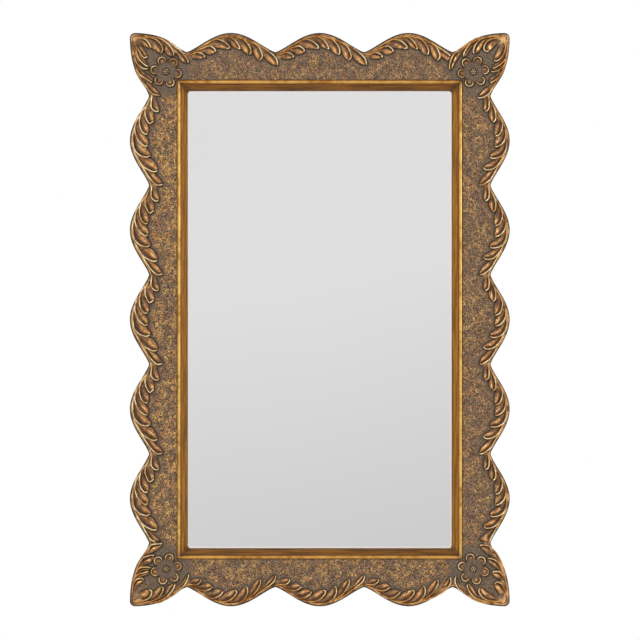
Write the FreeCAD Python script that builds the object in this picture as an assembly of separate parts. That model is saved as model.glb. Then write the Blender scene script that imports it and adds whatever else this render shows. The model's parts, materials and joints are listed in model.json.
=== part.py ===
"""Sculpted wall mirror in millimetres.

X runs to the right as seen from the front, Z up, and the front faces -Y.
The origin lies on the wall plane, behind the centre of the frame.
"""

import FreeCAD
import Part
import math
import os
from collections import namedtuple

V = FreeCAD.Vector

# Overall frame
sight_width = 494.0
sight_height = 857.0
liner_face = 20.6
rail_reach = 88.6
rail_thickness = 26.0
pad_height = 6.0

# Scalloped edge
crests_across = 3
crests_down = 5
crest_height = 36.0
crest_power = 1.28
corner_span_across = 106.5
corner_span_down = 118.0
corner_radius = 10.0
rim_width = 4.6
rim_rise = 3.0

# Rabbet behind the rails' inner lip
lip_thickness = 11.0
lip_depth = 7.0
rabbet_gap = 1.0

# Gilt liner
flange_thickness = 6.0
sight_edge = 3.0
bead_radius = 3.5
bead_rise = 1.5
bead_foot = 1.2
bead_gap = 0.3

# Pane, board and blocks
glass_thickness = 4.0
board_thickness = 3.0
board_gap = 0.5
block_thickness = 3.0
block_length = 50.0
block_offset = 150.0

# Carved relief
relief_height = 6.0
leaf_width = 11.6
leaflet_width = 7.6
leaf_root_gap = 2.6
petal_count = 6
petal_radius = 8.8
petal_ring = 21.0
petal_height = 4.4
petal_dish = 2.6
rosette_web = 1.6
rosette_turn = 11.0
button_radius = 6.2
button_height = 4.6
rosette_from_liner_across = 20.4
rosette_from_liner_down = 16.2

# Retaining clips
clips_across = 2
clips_down = 4
clip_width = 14.0
clip_steel = 1.2
clip_leg = 24.0
clip_foot = 12.0
clip_rise = 4.0

# Corner braces
brace_leg = 62.0
brace_width = 16.0
brace_steel = 1.6
brace_inset = 22.0

# Mitre biscuits
biscuit_length = 47.0
biscuit_width = 20.0
biscuit_thickness = 4.0
biscuit_gap = 0.15

# Screws
shank_radius = 1.75
shank_length = 15.0
point_length = 3.0
head_radius = 3.6
head_height = 2.0
head_round = 0.9
slot_width = 0.9
slot_depth = 1.0
slot_reach = 2.3
hole_gap = 0.35
pilot_gap = 0.05

# Strap hangers
strap_width = 14.0
strap_steel = 1.2
strap_length = 34.0
strap_from_liner = 37.0
strap_crests_down = 1.5
strap_screw_near = 9.5
strap_screw_far = 27.0
barrel_length = 12.0
wire_radius = 1.3
barrel_gap = 0.09
ring_half_width = 11.0
ring_bend = 3.0
ring_arm = 6.0
ring_rest_gap = 0.05

# Wall pads
pad_radius = 9.0
pad_round = 1.2
pad_inset = 22.0

# A cut runs this far past what it cuts
overrun = 2.0

# Shares of the pitch where the crest's formula is sampled
crest_shares = (0.0, 0.035, 0.09, 0.17, 0.27, 0.38, 0.5, 0.62, 0.73, 0.83, 0.91, 0.965, 1.0)

# Corner leaf's edge: share of the corner span from the valley, share of the crest height
corner_edge_shares = (
    (0.0, 0.0),
    (0.09, 0.13),
    (0.19, 0.345),
    (0.29, 0.555),
    (0.39, 0.715),
    (0.54, 0.862),
    (0.67, 0.94),
    (0.80, 0.985),
)

# Leaves of one spray: root share, tip share of the pitch, tip's depth as a share of the crest height
leaf_shares = (
    (0.035, 0.19, 1.36),
    (0.14, 0.315, 1.05),
    (0.258, 0.455, 0.83),
    (0.376, 0.58, 0.84),
    (0.522, 0.71, 1.04),
    (0.68, 0.846, 1.38),
    (0.82, 0.955, 1.56),
)
leaf_turn_share = 0.74

# Corner leaflets: root, turn and tip as shares of the corner span and of the crest height
leaflet_shares = (
    ((0.15, 0.30), (0.27, 0.45), (0.36, 0.88)),
    ((0.29, 0.24), (0.50, 0.42), (0.55, 1.02)),
    ((0.46, 0.36), (0.66, 0.62), (0.74, 1.15)),
    ((0.67, 0.60), (0.87, 1.00), (0.96, 1.50)),
)

# A leaf's sections: share of its length, share of its width, share of its height
leaf_section_shares = (
    (0.10, 0.20, 0.45),
    (0.30, 0.44, 0.75),
    (0.50, 0.70, 0.95),
    (0.68, 0.92, 1.0),
    (0.84, 1.0, 0.95),
    (0.95, 0.66, 0.70),
)

# Planes, from the wall forward
back_plane = -pad_height
ground_plane = back_plane - rail_thickness
rim_plane = ground_plane - rim_rise
lip_plane = ground_plane + lip_thickness
seat_plane = lip_plane + flange_thickness
glass_back = seat_plane + glass_thickness
board_back = glass_back + board_thickness
wall_plane = 0.0

# Sizes that follow
lip_half_x = sight_width / 2 + liner_face
lip_half_z = sight_height / 2 + liner_face
half_width = lip_half_x + rail_reach
half_height = lip_half_z + rail_reach
glass_margin = liner_face + lip_depth - block_thickness
strap_radius = wire_radius + barrel_gap + strap_steel
hinge_plane = back_plane + strap_radius
ring_length = ring_arm + ring_half_width
ring_lean = math.asin((strap_radius - wire_radius - ring_rest_gap) / ring_length)

# One side of the frame: half its length, the crest line's distance out, its crests and its flow of leaves
Side = namedtuple("Side", "name half_along half_out crests corner_span flow")
SIDES = (
    Side("top", half_width, half_height, crests_across, corner_span_across, 1),
    Side("bottom", half_width, half_height, crests_across, corner_span_across, 1),
    Side("left", half_height, half_width, crests_down, corner_span_down, -1),
    Side("right", half_height, half_width, crests_down, corner_span_down, -1),
)
CORNERS = {
    "top_left": (-1, 1),
    "top_right": (1, 1),
    "bottom_left": (-1, -1),
    "bottom_right": (1, -1),
}


def place(side, along, out, depth):
    """A point given along one side of the frame and out from the mirror's centre."""
    spots = {
        "top": (along, out),
        "bottom": (along, -out),
        "left": (-out, along),
        "right": (out, along),
    }
    x, z = spots[side.name]
    return V(x, depth, z)


def line(start, end):
    return Part.LineSegment(start, end).toShape()


def polygon_prism(points, travel):
    """A prism on a closed polygon."""
    wire = Part.makePolygon(points + points[:1])
    return Part.Face(wire).extrude(travel)


def block(low, high):
    """A box between two corners."""
    size = high - low
    return Part.makeBox(size.x, size.y, size.z, low)


def pitch_of(side):
    return 2 * (side.half_along - side.corner_span) / side.crests


def crest_rise(share):
    """How far the scalloped edge stands above its valleys."""
    return crest_height * max(math.sin(math.pi * share), 0.0) ** crest_power


def spline(points, end_tangent=None):
    curve = Part.BSplineCurve()
    if end_tangent is None:
        curve.interpolate(points)
        return curve.toShape()
    start_tangent = points[1] - points[0]
    curve.interpolate(Points=points, InitialTangent=start_tangent, FinalTangent=end_tangent)
    return curve.toShape()


def corner_edges(side, end, inset, depth):
    """The corner leaf's edge from the valley to the tip of the frame's corner."""
    valley_along = side.half_along - side.corner_span
    valley_out = side.half_out - crest_height - inset
    points = []
    for along_share, rise_share in corner_edge_shares:
        along = valley_along + along_share * side.corner_span
        out = valley_out + rise_share * crest_height
        points.append(place(side, end * along, out, depth))
    round_start = side.half_along - corner_radius
    points.append(place(side, end * round_start, side.half_out - inset, depth))
    straight_on = place(side, end, 0.0, 0.0)
    edge = spline(points, straight_on)
    half_turn = math.pi / 8
    middle = place(
        side,
        end * (round_start + corner_radius * math.sin(half_turn)),
        side.half_out - inset - corner_radius * (1 - math.cos(half_turn)),
        depth,
    )
    tip = corner_tip(side, end, inset, depth)
    return [edge, Part.Arc(points[-1], middle, tip).toShape()]


def corner_tip(side, end, inset, depth):
    """Where the mitre leaves the frame's rounded corner."""
    cut_off = corner_radius * (1 - math.cos(math.pi / 4))
    return place(side, end * (side.half_along - cut_off), side.half_out - inset - cut_off, depth)


def scalloped_edges(side, inset, depth):
    """The outer edge of one rail, moved in by an inset."""
    edges = corner_edges(side, -1, inset, depth) + corner_edges(side, 1, inset, depth)
    pitch = pitch_of(side)
    first_valley = side.corner_span - side.half_along
    valley_out = side.half_out - crest_height - inset
    for crest in range(side.crests):
        points = []
        for share in crest_shares:
            along = first_valley + (crest + share) * pitch
            points.append(place(side, along, valley_out + crest_rise(share), depth))
        edges.append(spline(points))
    return edges


def closed_face(edges):
    return Part.Face(Part.Wire(Part.__sortEdges__(edges)))


def rail_blank(side):
    """A mitred rail with its raised rim and its rabbet."""
    lip_out = side.half_out - rail_reach
    lip_along = side.half_along - rail_reach
    edges = scalloped_edges(side, 0.0, back_plane)
    tips = {end: corner_tip(side, end, 0.0, back_plane) for end in (-1, 1)}
    lips = {end: place(side, end * lip_along, lip_out, back_plane) for end in (-1, 1)}
    edges += [line(tips[-1], lips[-1]), line(lips[-1], lips[1]), line(lips[1], tips[1])]
    solid = closed_face(edges).extrude(V(0, rim_plane - back_plane, 0))

    sunk_edges = scalloped_edges(side, rim_width, rim_plane - overrun)
    sunk_tips = {end: corner_tip(side, end, rim_width, rim_plane - overrun) for end in (-1, 1)}
    feet = {}
    for end in (-1, 1):
        tip_along = side.half_along - corner_radius * (1 - math.cos(math.pi / 4))
        feet[end] = place(side, end * tip_along, lip_out - overrun, rim_plane - overrun)
    sunk_edges += [line(sunk_tips[-1], feet[-1]), line(feet[-1], feet[1]), line(feet[1], sunk_tips[1])]
    sunk = closed_face(sunk_edges).extrude(V(0, ground_plane - rim_plane + overrun, 0))
    solid = solid.cut(sunk)

    rabbet = box_on(side, side.half_along, lip_out - overrun, lip_out + lip_depth, lip_plane, back_plane + overrun)
    return solid.cut(rabbet)


def box_on(side, half_along, out_low, out_high, front, back, middle=0.0):
    """A box on one side of the frame."""
    first = place(side, middle - half_along, out_low, front)
    second = place(side, middle + half_along, out_high, back)
    low = V(min(first.x, second.x), min(first.y, second.y), min(first.z, second.z))
    high = V(max(first.x, second.x), max(first.y, second.y), max(first.z, second.z))
    return block(low, high)


def liner_member(side):
    """A mitred length of the gilt liner: sloping cove, bead and flange."""
    sight_out = side.half_out - rail_reach - liner_face
    sight_along = side.half_along - rail_reach - liner_face
    flange_reach = liner_face + lip_depth - rabbet_gap
    bead_out = sight_out + liner_face - bead_gap
    bead_middle = bead_out - bead_radius
    bead_plane = ground_plane - bead_rise + bead_radius
    cove_foot = bead_middle - bead_radius
    start = -(side.half_along)

    def spot(out, depth):
        return place(side, start, out, depth)

    cove_bend = spot(
        (sight_out + cove_foot) / 2,
        (seat_plane - sight_edge + bead_plane + bead_foot) / 2 + bead_foot / 2,
    )
    bead_start = spot(cove_foot, bead_plane)
    bead_end = spot(bead_out, bead_plane)
    edges = [
        line(spot(sight_out, seat_plane), spot(sight_out, seat_plane - sight_edge)),
        Part.Arc(spot(sight_out, seat_plane - sight_edge), cove_bend, spot(cove_foot, bead_plane + bead_foot)).toShape(),
        line(spot(cove_foot, bead_plane + bead_foot), bead_start),
        Part.Arc(bead_start, spot(bead_middle, bead_plane - bead_radius), bead_end).toShape(),
        line(bead_end, spot(bead_out, lip_plane)),
        line(spot(bead_out, lip_plane), spot(sight_out + flange_reach, lip_plane)),
        line(spot(sight_out + flange_reach, lip_plane), spot(sight_out + flange_reach, seat_plane)),
        line(spot(sight_out + flange_reach, seat_plane), spot(sight_out, seat_plane)),
    ]
    travel = place(side, 2 * side.half_along, 0.0, 0.0)
    bar = closed_face(edges).extrude(travel)
    plan = [
        place(side, -sight_along, sight_out, rim_plane),
        place(side, sight_along, sight_out, rim_plane),
        place(side, sight_along + flange_reach, sight_out + flange_reach, rim_plane),
        place(side, -sight_along - flange_reach, sight_out + flange_reach, rim_plane),
    ]
    return bar.common(polygon_prism(plan, V(0, wall_plane - rim_plane, 0)))


def curve_point(root, turn, tip, share):
    """A point on the quadratic curve that a leaf follows."""
    rest = 1 - share
    return root * (rest * rest) + turn * (2 * rest * share) + tip * (share * share)


def curve_heading(root, turn, tip, share):
    heading = (turn - root) * (1 - share) + (tip - turn) * share
    return heading.normalize()


def domed_leaf(root, turn, tip, width, height):
    """A curved leaf with a flat back on the ground, tapering to points at its root and tip."""
    arcs = []
    near_feet = []
    far_feet = []
    for length_share, width_share, height_share in leaf_section_shares:
        middle = curve_point(root, turn, tip, length_share)
        across = curve_heading(root, turn, tip, length_share).cross(V(0, 1, 0))
        reach = across * (width * width_share / 2)
        crown = middle + V(0, -height * height_share, 0)
        near_feet.append(middle - reach)
        far_feet.append(middle + reach)
        arcs.append(Part.Wire(Part.Arc(near_feet[-1], crown, far_feet[-1]).toShape()))
    dome = Part.makeLoft([Part.Vertex(root)] + arcs + [Part.Vertex(tip)], False, True)
    sole = Part.Face(Part.makePolygon([root] + near_feet + [tip] + far_feet[::-1] + [root]))
    shell = Part.makeShell(dome.Faces + [sole])
    shell.sewShape()
    solid = Part.Solid(shell)
    if solid.Volume < 0:
        solid.reverse()
    return solid


def edge_out(side, share):
    """How far out the ground reaches inside the rim, at a share of the pitch."""
    return side.half_out - crest_height + crest_rise(share) - rim_width - leaf_root_gap


def leaf_spray(side, crest):
    """The leaves that flow over one crest."""
    pitch = pitch_of(side)
    start = side.flow * (side.corner_span - side.half_along + crest * pitch)
    leaves = []
    for root_share, tip_share, depth_share in leaf_shares:
        turn_share = root_share + leaf_turn_share * (tip_share - root_share)
        root = place(side, start + side.flow * root_share * pitch, edge_out(side, root_share), ground_plane)
        turn = place(side, start + side.flow * turn_share * pitch, edge_out(side, turn_share), ground_plane)
        tip_out = side.half_out - depth_share * crest_height
        tip = place(side, start + side.flow * tip_share * pitch, tip_out, ground_plane)
        leaves.append(domed_leaf(root, turn, tip, leaf_width, relief_height))
    return leaves


def corner_leaf(corner):
    """Leaflets that fan from the corner's tip along both of its rails."""
    sign_x, sign_z = corner
    leaflets = []
    for along_x in (True, False):
        span = corner_span_across if along_x else corner_span_down
        for shares in leaflet_shares:
            spots = []
            for along_share, depth_share in shares:
                along = along_share * span
                depth = depth_share * crest_height
                in_x, in_z = (along, depth) if along_x else (depth, along)
                spots.append(V(sign_x * (half_width - in_x), ground_plane, sign_z * (half_height - in_z)))
            leaflets.append(domed_leaf(*spots, leaflet_width, relief_height))
    return leaflets


def upright(shape):
    """Turn a shape built upward on the ground so that its top faces the front."""
    shape.rotate(V(0, 0, 0), V(1, 0, 0), 90)
    return shape


def petal():
    """A cupped petal: a low drum with a dished face."""
    drum = Part.makeCylinder(petal_radius, petal_height)
    dish_radius = (petal_radius**2 + petal_dish**2) / (2 * petal_dish)
    ball = Part.makeSphere(dish_radius, V(0, 0, petal_height + dish_radius - petal_dish))
    return drum.cut(ball)


def rosette(corner):
    """Six cupped petals on a thin web, round a domed button."""
    sign_x, sign_z = corner
    solid = Part.makeCylinder(petal_ring, rosette_web)
    for index in range(petal_count):
        turn = 2 * math.pi * index / petal_count + math.radians(rosette_turn) * sign_x * sign_z
        piece = petal()
        piece.translate(V(petal_ring * math.cos(turn), petal_ring * math.sin(turn), 0))
        solid = solid.fuse(piece)
    dome_radius = (button_radius**2 + button_height**2) / (2 * button_height)
    dome = Part.makeSphere(dome_radius, V(0, 0, button_height - dome_radius))
    solid = solid.fuse(dome.common(Part.makeCylinder(button_radius, button_height)))
    solid = upright(solid.removeSplitter())
    x = sign_x * (lip_half_x + rosette_from_liner_across)
    z = sign_z * (lip_half_z + rosette_from_liner_down)
    solid.translate(V(x, ground_plane, z))
    return solid


def pane():
    half = V(sight_width / 2 + glass_margin, 0, sight_height / 2 + glass_margin)
    return block(V(-half.x, seat_plane, -half.z), V(half.x, glass_back, half.z))


def backing_board():
    margin = liner_face + lip_depth - board_gap
    half = V(sight_width / 2 + margin, 0, sight_height / 2 + margin)
    return block(V(-half.x, glass_back, -half.z), V(half.x, board_back, half.z))


def setting_blocks():
    bottom = SIDES[1]
    out = sight_height / 2 + glass_margin
    blocks = []
    for end in (-1, 1):
        middle = end * block_offset
        ends = out, out + block_thickness
        blocks.append(box_on(bottom, block_length / 2, *ends, seat_plane, glass_back, middle))
    return blocks


def clip_spots():
    """Side and place along it of each retaining clip."""
    spots = []
    for side in SIDES:
        count = clips_across if side.crests == crests_across else clips_down
        length = 2 * (side.half_along - rail_reach - liner_face)
        for index in range(count):
            spots.append((side, length * ((index + 0.5) / count - 0.5)))
    return spots


def clip_screw_out(side):
    return side.half_out - rail_reach + lip_depth + clip_leg / 2


def clip(side, along):
    """An offset clip: its leg on the rail's back, its foot on the backing board."""
    wall_out = side.half_out - rail_reach + lip_depth
    leg_end = wall_out + clip_leg
    bend_high = wall_out - board_gap
    bend_low = bend_high - clip_rise
    foot_end = bend_low - clip_foot
    profile = (
        (leg_end, back_plane),
        (bend_high, back_plane),
        (bend_low, board_back),
        (foot_end, board_back),
        (foot_end, board_back + clip_steel),
        (bend_low, board_back + clip_steel),
        (bend_high, back_plane + clip_steel),
        (leg_end, back_plane + clip_steel),
    )
    points = [place(side, along - clip_width / 2, out, depth) for out, depth in profile]
    strip = polygon_prism(points, place(side, clip_width, 0.0, 0.0))
    return strip.cut(hole_at(place(side, along, clip_screw_out(side), back_plane)))


def hole_at(point):
    """A clearance hole through thin steel."""
    return Part.makeCylinder(shank_radius + hole_gap, rail_thickness, point - V(0, overrun, 0), V(0, 1, 0))


def pilot_at(point):
    """A pilot hole in a rail's back."""
    length = shank_length + pilot_gap + overrun
    return Part.makeCylinder(shank_radius + pilot_gap, length, point + V(0, overrun, 0), V(0, -1, 0))


def screw(point, steel):
    """A pan-head screw driven forward into a rail, its head on steel of a thickness."""
    head = Part.makeCylinder(head_radius, head_height)
    rim = [edge for edge in head.Edges if edge.CenterOfMass.z > head_height / 2 and len(edge.Vertexes) == 1]
    head = head.makeFillet(head_round, rim)
    shank = Part.makeCylinder(shank_radius, shank_length - point_length, V(0, 0, 0), V(0, 0, -1))
    point_top = V(0, 0, point_length - shank_length)
    solid = head.fuse(shank).fuse(Part.makeCone(shank_radius, 0, point_length, point_top, V(0, 0, -1)))
    for size_x, size_y in ((slot_reach, slot_width / 2), (slot_width / 2, slot_reach)):
        low = V(-size_x, -size_y, head_height - slot_depth)
        solid = solid.cut(block(low, V(size_x, size_y, head_height + overrun)))
    solid = solid.removeSplitter()
    solid.rotate(V(0, 0, 0), V(1, 0, 0), -90)
    solid.translate(point + V(0, steel, 0))
    return solid


def brace_origin(corner):
    """The outer corner of an L-shaped brace on the frame's back."""
    sign_x, sign_z = corner
    reach = lip_depth + brace_inset + brace_width
    return V(sign_x * (lip_half_x + reach), back_plane, sign_z * (lip_half_z + reach))


def brace_screw_spots(corner):
    sign_x, sign_z = corner
    start = brace_origin(corner)
    spots = []
    for along in (brace_leg - brace_width / 2, brace_leg / 2):
        for in_x, in_z in ((along, brace_width / 2), (brace_width / 2, along)):
            spots.append(start - V(sign_x * in_x, 0, sign_z * in_z))
    return spots


def brace(corner):
    """A flat steel L across one mitre."""
    sign_x, sign_z = corner
    start = brace_origin(corner)
    plan = (
        (0, 0),
        (brace_leg, 0),
        (brace_leg, brace_width),
        (brace_width, brace_width),
        (brace_width, brace_leg),
        (0, brace_leg),
    )
    points = [start - V(sign_x * in_x, 0, sign_z * in_z) for in_x, in_z in plan]
    plate = polygon_prism(points, V(0, brace_steel, 0))
    for spot in brace_screw_spots(corner):
        plate = plate.cut(hole_at(spot))
    return plate


def biscuit(corner, grow):
    """A flat lens-shaped biscuit across one mitre, or its slot when grown by a gap."""
    sign_x, sign_z = corner
    half_length = biscuit_length / 2 + grow
    half_width_of = biscuit_width / 2 + grow
    half_thick = biscuit_thickness / 2 + grow
    ends = [V(-half_length, 0, -half_thick), V(half_length, 0, -half_thick)]
    arcs = []
    for bulge in (-half_width_of, half_width_of):
        arcs.append(Part.Arc(ends[0], V(0, bulge, -half_thick), ends[1]).toShape())
    solid = closed_face(arcs).extrude(V(0, 0, 2 * half_thick))
    solid = upright(solid)
    solid.rotate(V(0, 0, 0), V(0, 1, 0), -45 * sign_x * sign_z)
    middle = lip_depth + (rail_reach - lip_depth - corner_radius) / 2
    depth = (lip_plane + back_plane) / 2
    solid.translate(V(sign_x * (lip_half_x + middle), depth, sign_z * (lip_half_z + middle)))
    return solid


def strap_hinge(sign_x):
    """The axis of a hanger's ring, near the second crest from the top."""
    crest_z = half_height - corner_span_down - strap_crests_down * pitch_of(SIDES[2])
    return V(sign_x * (lip_half_x + strap_from_liner), hinge_plane, crest_z + strap_length / 2)


def strap_screw_spots(sign_x):
    hinge = strap_hinge(sign_x)
    spots = []
    for drop in (strap_screw_near, strap_screw_far):
        spots.append(V(hinge.x, back_plane, hinge.z - drop))
    return spots


def strap(sign_x):
    """A steel strap whose upper end is rolled round the ring."""
    hinge = strap_hinge(sign_x)
    half_barrel = V(barrel_length / 2, 0, 0)
    plate_low = V(hinge.x - strap_width / 2, back_plane, hinge.z - strap_length)
    plate_high = V(hinge.x + strap_width / 2, back_plane + strap_steel, hinge.z - strap_radius)
    neck_low = V(hinge.x - barrel_length / 2, back_plane, plate_high.z)
    neck_high = V(hinge.x + barrel_length / 2, back_plane + strap_steel, hinge.z)
    solid = block(plate_low, plate_high).fuse(block(neck_low, neck_high))
    roll = Part.makeCylinder(strap_radius, barrel_length, hinge - half_barrel, V(1, 0, 0))
    solid = solid.fuse(roll)
    bore_start = hinge - half_barrel - V(overrun, 0, 0)
    bore_length = barrel_length + 2 * overrun
    bore = Part.makeCylinder(wire_radius + barrel_gap, bore_length, bore_start, V(1, 0, 0))
    solid = solid.cut(bore)
    for spot in strap_screw_spots(sign_x):
        solid = solid.cut(hole_at(spot))
    return solid.removeSplitter()


def ring(sign_x):
    """A D-ring of round wire that stands up from the strap and leans on the rail."""
    side_x = ring_half_width
    bar_x = side_x - ring_bend
    bend_in = ring_bend * (1 - math.cos(math.pi / 4))
    path = [line(V(-bar_x, 0, 0), V(bar_x, 0, 0))]
    path.append(Part.Arc(V(bar_x, 0, 0), V(side_x - bend_in, 0, bend_in), V(side_x, 0, ring_bend)).toShape())
    path.append(line(V(side_x, 0, ring_bend), V(side_x, 0, ring_arm)))
    path.append(Part.Arc(V(side_x, 0, ring_arm), V(0, 0, ring_length), V(-side_x, 0, ring_arm)).toShape())
    path.append(line(V(-side_x, 0, ring_arm), V(-side_x, 0, ring_bend)))
    path.append(Part.Arc(V(-side_x, 0, ring_bend), V(bend_in - side_x, 0, bend_in), V(-bar_x, 0, 0)).toShape())
    wire_start = Part.Wire(Part.makeCircle(wire_radius, V(-bar_x, 0, 0), V(1, 0, 0)))
    solid = Part.Wire(path).makePipeShell([wire_start], True, False)
    solid.rotate(V(0, 0, 0), V(1, 0, 0), math.degrees(ring_lean))
    solid.translate(strap_hinge(sign_x))
    return solid


def wall_pad(corner):
    """A rubber pad that holds the frame off the wall."""
    sign_x, sign_z = corner
    pad = Part.makeCylinder(pad_radius, pad_height)
    rim = [edge for edge in pad.Edges if edge.CenterOfMass.z > pad_height / 2 and len(edge.Vertexes) == 1]
    pad = pad.makeFillet(pad_round, rim)
    pad.rotate(V(0, 0, 0), V(1, 0, 0), -90)
    pad.translate(V(sign_x * (half_width - pad_inset), back_plane, sign_z * (half_height - pad_inset)))
    return pad


def screw_spots():
    """Every screw's place on the rails' back, with the steel under its head."""
    clips = [(place(side, along, clip_screw_out(side), back_plane), clip_steel) for side, along in clip_spots()]
    braces = [(spot, brace_steel) for corner in CORNERS.values() for spot in brace_screw_spots(corner)]
    straps = [(spot, strap_steel) for sign_x in (-1, 1) for spot in strap_screw_spots(sign_x)]
    return {"clip_screws": clips, "brace_screws": braces, "hanger_screws": straps}


def rails():
    """The four rails with their biscuit slots and pilot holes."""
    slots = [biscuit(corner, biscuit_gap) for corner in CORNERS.values()]
    pilots = [pilot_at(spot) for group in screw_spots().values() for spot, _ in group]
    nodes = {}
    for side in SIDES:
        solid = rail_blank(side)
        near = [tool for tool in slots + pilots if tool.BoundBox.intersect(solid.BoundBox)]
        nodes[side.name + "_rail"] = solid.cut(Part.makeCompound(near))
    return nodes


def build():
    nodes = rails()
    for side in SIDES:
        nodes["liner_" + side.name] = liner_member(side)
        for crest in range(side.crests):
            nodes[f"leaf_spray_{side.name}_{crest + 1}"] = leaf_spray(side, crest)
    for name, corner in CORNERS.items():
        nodes["corner_leaf_" + name] = corner_leaf(corner)
        nodes["rosette_" + name] = rosette(corner)
        nodes["corner_brace_" + name] = brace(corner)
    nodes["mirror_glass"] = pane()
    nodes["backing_board"] = backing_board()
    nodes["setting_blocks"] = setting_blocks()
    nodes["retaining_clips"] = [clip(side, along) for side, along in clip_spots()]
    nodes["mitre_biscuits"] = [biscuit(corner, 0.0) for corner in CORNERS.values()]
    nodes["wall_pads"] = [wall_pad(corner) for corner in CORNERS.values()]
    for name, spots in screw_spots().items():
        nodes[name] = [screw(spot, steel) for spot, steel in spots]
    for name, sign_x in (("left", -1), ("right", 1)):
        nodes["hanger_strap_" + name] = strap(sign_x)
        nodes["hanger_ring_" + name] = ring(sign_x)
    return nodes


os.makedirs("parts", exist_ok=True)
for node, made in build().items():
    shape = Part.makeCompound(made) if isinstance(made, list) else made
    solids = shape.Solids
    print(node, "solids", len(solids), "valid", shape.isValid(), "volume", round(shape.Volume))
    whole = solids[0] if len(solids) == 1 else Part.makeCompound(solids)
    whole.exportStep("parts/" + node + ".step")
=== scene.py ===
"""The looks of a carved, gilded wall mirror, built round the loaded frame."""

import json
import math
from collections import namedtuple

import bmesh
import bpy
import numpy as np
from mathutils import Euler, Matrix, Vector, kdtree, noise


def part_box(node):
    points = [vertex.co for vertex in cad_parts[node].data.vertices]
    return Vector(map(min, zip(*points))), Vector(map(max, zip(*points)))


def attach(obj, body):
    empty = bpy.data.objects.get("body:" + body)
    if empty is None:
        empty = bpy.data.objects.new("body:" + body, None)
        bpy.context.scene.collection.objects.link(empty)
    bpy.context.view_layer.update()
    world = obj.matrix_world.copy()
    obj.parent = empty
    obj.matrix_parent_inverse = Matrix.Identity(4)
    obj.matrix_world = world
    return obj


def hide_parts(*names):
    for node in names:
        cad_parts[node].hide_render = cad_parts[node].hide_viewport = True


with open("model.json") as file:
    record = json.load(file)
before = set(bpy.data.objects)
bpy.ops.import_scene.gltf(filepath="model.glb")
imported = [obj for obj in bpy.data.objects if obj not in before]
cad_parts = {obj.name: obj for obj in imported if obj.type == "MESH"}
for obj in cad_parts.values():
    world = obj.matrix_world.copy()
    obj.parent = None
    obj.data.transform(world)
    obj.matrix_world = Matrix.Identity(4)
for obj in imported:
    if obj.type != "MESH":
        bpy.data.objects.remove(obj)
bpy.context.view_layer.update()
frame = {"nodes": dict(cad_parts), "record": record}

MM = 0.001
texture_turn = (0.41, 0.67, 0.23)


def box_of(node):
    """A node's lowest and highest corner, in millimetres."""
    return [np.array(corner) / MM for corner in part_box(node)]


# Sizes read from the frame, in millimetres
top_low, top_high = box_of("top_rail")
left_low, left_high = box_of("left_rail")
liner_low, liner_high = box_of("liner_top")
glass_low, glass_high = box_of("mirror_glass")
leaf_low, leaf_high = box_of("leaf_spray_top_1")
half_width = -left_low[0]
half_height = top_high[2]
lip_half_x = -left_high[0]
lip_half_z = top_low[2]
rim_plane = top_low[1]
back_plane = top_high[1]
ground_plane = leaf_high[1]
relief_plane = leaf_low[1]
seat_plane = liner_high[1]
lip_above_seat = 6.0
lip_plane = seat_plane - lip_above_seat
sight_half_x = lip_half_x - (lip_half_z - liner_low[2])
sight_half_z = liner_low[2]

# The scalloped edge, lengths in millimetres
crest_height = 36.0
crest_power = 1.28
crest_samples = 400
corner_span_across = 106.5
corner_span_down = 118.0
corner_radius = 10.0
corner_edge_samples = 40
corner_arc_samples = 24
grid_step = 1.35

# Corner leaf's edge: share of the corner span from the valley, share of the crest height
corner_edge_shares = (
    (0.0, 0.0),
    (0.09, 0.13),
    (0.19, 0.345),
    (0.29, 0.555),
    (0.39, 0.715),
    (0.54, 0.862),
    (0.67, 0.94),
    (0.80, 0.985),
)

# A side's half length and reach, crests, corner span, way of its leaves, lip and sight edge
Side = namedtuple("Side", "half_along, half_out, crests, corner_span, flow, lip_out, sight_along, sight_out")
level = Side(half_width, half_height, 3, corner_span_across, 1, lip_half_z, sight_half_x, sight_half_z)
upright = Side(half_height, half_width, 5, corner_span_down, -1, lip_half_x, sight_half_z, sight_half_x)
SIDES = {"top": level, "bottom": level, "left": upright, "right": upright}

# The signs of x and z at each corner
CORNERS = {"top_left": (-1, 1), "top_right": (1, 1), "bottom_left": (-1, -1), "bottom_right": (1, -1)}

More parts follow.
